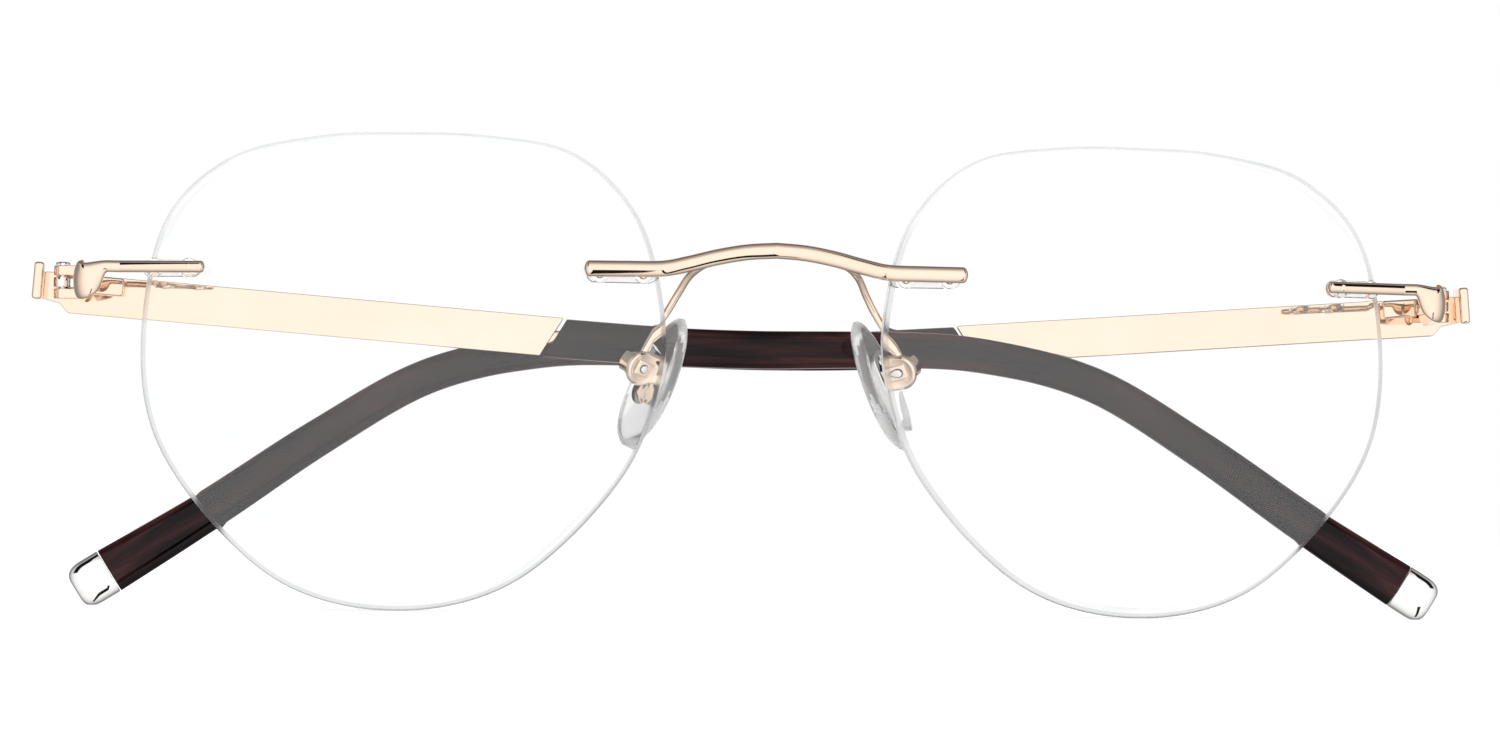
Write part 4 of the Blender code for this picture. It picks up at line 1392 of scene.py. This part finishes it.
# %% [markdown]
# ## Studio
# Glass and polished metal show only what is around them, so a product studio is white with a
# few dark gaps, which become the dark lines that explain the shape. Here each kind of ray sees
# a studio of its own. Seen directly, the surroundings are plain white. Reflections see them
# bright in front of the object, dim beside it and bright again straight behind, and they
# alone see three dark cards. Through glass they are a little brighter in front and darker
# overhead. The floor glows a plain white, and reflections pass it by, so that the card below it
# can be seen in the metal.

# %% Studio surroundings
# Dark cards round the object: degrees round from straight in front towards the wearer's left,
# degrees up, half width, half height, and softness of the edge
CARDS = {
    "low_right": (16, -42, 4.8, 28, 0.8),
    "high_left": (-48, 38, 14, 22, 2),
    "high_right": (52, 38, 14, 22, 2),
}
# Share of the surroundings' brightness that a card leaves
CARD_LEVEL = 0.01
# Heights, as the upward part of a direction, where overhead dimming starts and ends, and the
# brightness there, for reflections and through glass
OVERHEAD_REFLECTED = (0.55, 0.95, 1.0, 0.45)
OVERHEAD_THROUGH_GLASS = (0.5, 0.8, 1.0, 0.4)
# Turns from straight in front between which the light through glass grows, and its levels
FRONT_THROUGH_GLASS = (math.radians(60), math.radians(10), 0.98, 1.14)
# Brightness of the surroundings at turns away from the camera's side, from straight behind
# the object to straight in front of it
SURROUNDINGS = [
    (180, 1.0), (158, 1.0), (150, 0.36), (110, 0.32), (85, 0.60), (62, 0.90), (30, 1.16), (0, 1.22),
]


def build_card_group():
    """Mask of a rectangular card seen in a direction."""
    tree, given, result, _ = new_tree(
        "Studio card", "ShaderNodeTree",
        {
            "Direction": "Vector", "Centre": "Vector", "Across": "Vector", "Over": "Vector",
            "Half Width": 0.2, "Half Height": 0.1, "Softness": 0.05,
        },
        {"Mask": "Float"},
    )
    facing = vector(tree, "DOT_PRODUCT", given["Direction"], given["Centre"])
    mask = calc(tree, "GREATER_THAN", facing, 0.05)
    for axis, half in (("Across", "Half Width"), ("Over", "Half Height")):
        aside = vector(tree, "DOT_PRODUCT", given["Direction"], given[axis])
        offset = calc(tree, "ABSOLUTE", calc(tree, "DIVIDE", aside, calc(tree, "MAXIMUM", facing, 0.05)))
        edge = minus(tree, given[half], offset)
        soft = calc(tree, "DIVIDE", edge, given["Softness"])
        step = add(tree, "ShaderNodeMapRange", {"Value": soft}, interpolation_type="SMOOTHSTEP")
        mask = times(tree, mask, step.outputs[0])
    feed(tree, result["Mask"], mask)
    return tree


def build_world():
    """World whose brightness depends on direction and on the kind of ray."""
    world = bpy.data.worlds.new("Studio")
    world.use_nodes = True
    tree = world.node_tree
    tree.nodes.clear()
    direction = add(tree, "ShaderNodeTexCoord").outputs["Generated"]
    card_group = build_card_group()
    dark = 0.0
    for right, up, half_width, half_height, softness in CARDS.values():
        turn, rise = math.radians(right), math.radians(up)
        centre = Vector((math.sin(turn) * math.cos(rise), -math.cos(turn) * math.cos(rise), math.sin(rise)))
        across = Vector((math.cos(turn), math.sin(turn), 0))
        card = use_group(
            tree, card_group, Direction=direction, Centre=centre, Across=across, Over=centre.cross(across),
            Half_Width=math.tan(math.radians(half_width)), Half_Height=math.tan(math.radians(half_height)),
            Softness=math.tan(math.radians(softness)),
        )
        dark = calc(tree, "MAXIMUM", dark, card["Mask"])
    parts = add(tree, "ShaderNodeSeparateXYZ", {0: direction}).outputs
    turn = calc(tree, "ARCCOSINE", times(tree, parts["Y"], -1.0))
    ramp = tree.nodes.new("ShaderNodeFloatCurve")
    points = ramp.mapping.curves[0].points
    brightest = max(level for _, level in SURROUNDINGS)
    for degrees, level in SURROUNDINGS[1:-1]:
        points.new(degrees / 180, level / brightest)
    points[0].location = (0.0, SURROUNDINGS[-1][1] / brightest)
    points[-1].location = (1.0, SURROUNDINGS[0][1] / brightest)
    ramp.mapping.update()
    feed(tree, ramp.inputs["Value"], calc(tree, "DIVIDE", turn, math.pi))
    overhead = spread(tree, parts["Z"], *OVERHEAD_REFLECTED)
    level = times(tree, ramp.outputs[0], overhead)
    level = times(tree, level, minus(tree, 1.0 + CARD_LEVEL, dark))
    in_reflections = times(tree, level, brightest)
    front = spread(tree, turn, *FRONT_THROUGH_GLASS)
    overhead = spread(tree, parts["Z"], *OVERHEAD_THROUGH_GLASS)
    through_glass = times(tree, front, overhead)
    light = add(tree, "ShaderNodeLightPath").outputs
    reflecting, through = light["Is Glossy Ray"], light["Is Transmission Ray"]
    strength = plus(tree, times(tree, reflecting, in_reflections),
                    times(tree, through, through_glass))
    rest = minus(tree, minus(tree, 1.0, reflecting), through)
    strength = plus(tree, strength, rest)
    sky = add(tree, "ShaderNodeBackground", {"Color": (1, 1, 1, 1), "Strength": strength})
    add(tree, "ShaderNodeOutputWorld", {"Surface": sky.outputs[0]})
    world.cycles.sampling_method = "NONE"
    bpy.context.scene.world = world


build_world()
bpy.context.scene.view_settings.view_transform = "Standard"
print("studio cards:", ", ".join(CARDS))


# %% Floor
FLOOR_RADIUS = 3.0


def make_floor():
    shape = bmesh.new()
    bmesh.ops.create_circle(shape, cap_ends=True, segments=96, radius=FLOOR_RADIUS)
    data = to_mesh(shape)
    floor = bpy.data.objects.new("floor", data)
    bpy.context.scene.collection.objects.link(floor)
    material, tree, shader = new_material("pale_floor")
    grain = noise(tree, own_place(tree), 40.0, detail=3.0)
    tone = blend_colour(tree, grain, (0.80, 0.80, 0.80, 1), (0.84, 0.84, 0.84, 1))
    feed(tree, shader.inputs["Base Color"], tone)
    set_plain(shader, Roughness=0.9, Emission_Color=(1, 1, 1, 1), Emission_Strength=0.5)
    data.materials.append(material)
    floor.visible_glossy = False
    floor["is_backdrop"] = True


make_floor()
print("floor radius, m:", FLOOR_RADIUS)

# %% [markdown]
# ## Camera
# The glasses are seen almost straight on with a long lens from a little under half a metre,
# so the perspective is mild. The camera stands six degrees round to the wearer's right, looks
# up by two degrees, and is rolled by less than one.

# %% Camera
CAMERA_DISTANCE = 420.0
CAMERA_YAW = math.radians(6.0)
CAMERA_RISE = math.radians(2.0)
CAMERA_ROLL = math.radians(0.7)
CAMERA_AIM = Vector((-2.54, 0.2, 0.0))
CAMERA_FOCAL = 105.5


def make_camera():
    ahead = Vector((
        math.sin(CAMERA_YAW) * math.cos(CAMERA_RISE),
        math.cos(CAMERA_YAW) * math.cos(CAMERA_RISE),
        math.sin(CAMERA_RISE),
    ))
    level_right = ahead.cross(UP).normalized()
    level_up = level_right.cross(ahead)
    right = level_right * math.cos(CAMERA_ROLL) + level_up * math.sin(CAMERA_ROLL)
    up = right.cross(ahead)
    camera = bpy.data.objects.new("camera", bpy.data.cameras.new("camera"))
    camera.data.lens = CAMERA_FOCAL
    camera.data.clip_start = 0.01
    turn = Matrix((right, up, -ahead)).transposed().to_4x4()
    camera.matrix_world = Matrix.Translation(PLACE @ (CAMERA_AIM - ahead * CAMERA_DISTANCE)) @ turn
    bpy.context.scene.collection.objects.link(camera)
    bpy.context.scene.camera = camera
    return camera


camera = make_camera()
print("camera height above the floor, mm:", round(1000 * camera.matrix_world.translation.z, 1))

# %% [markdown]
# ## Sizes of the finished model
# The finished model is meant to fill the same box as the working one; the corners of both boxes are printed
# side by side.

# %% Print the corners of both boxes
visual_low, visual_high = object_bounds()
for title, corners in (("lowest", (cad_low, visual_low)), ("highest", (cad_high, visual_high))):
    print(title, "corners, mm:", [[round(1000 * part, 2) for part in corner] for corner in corners])
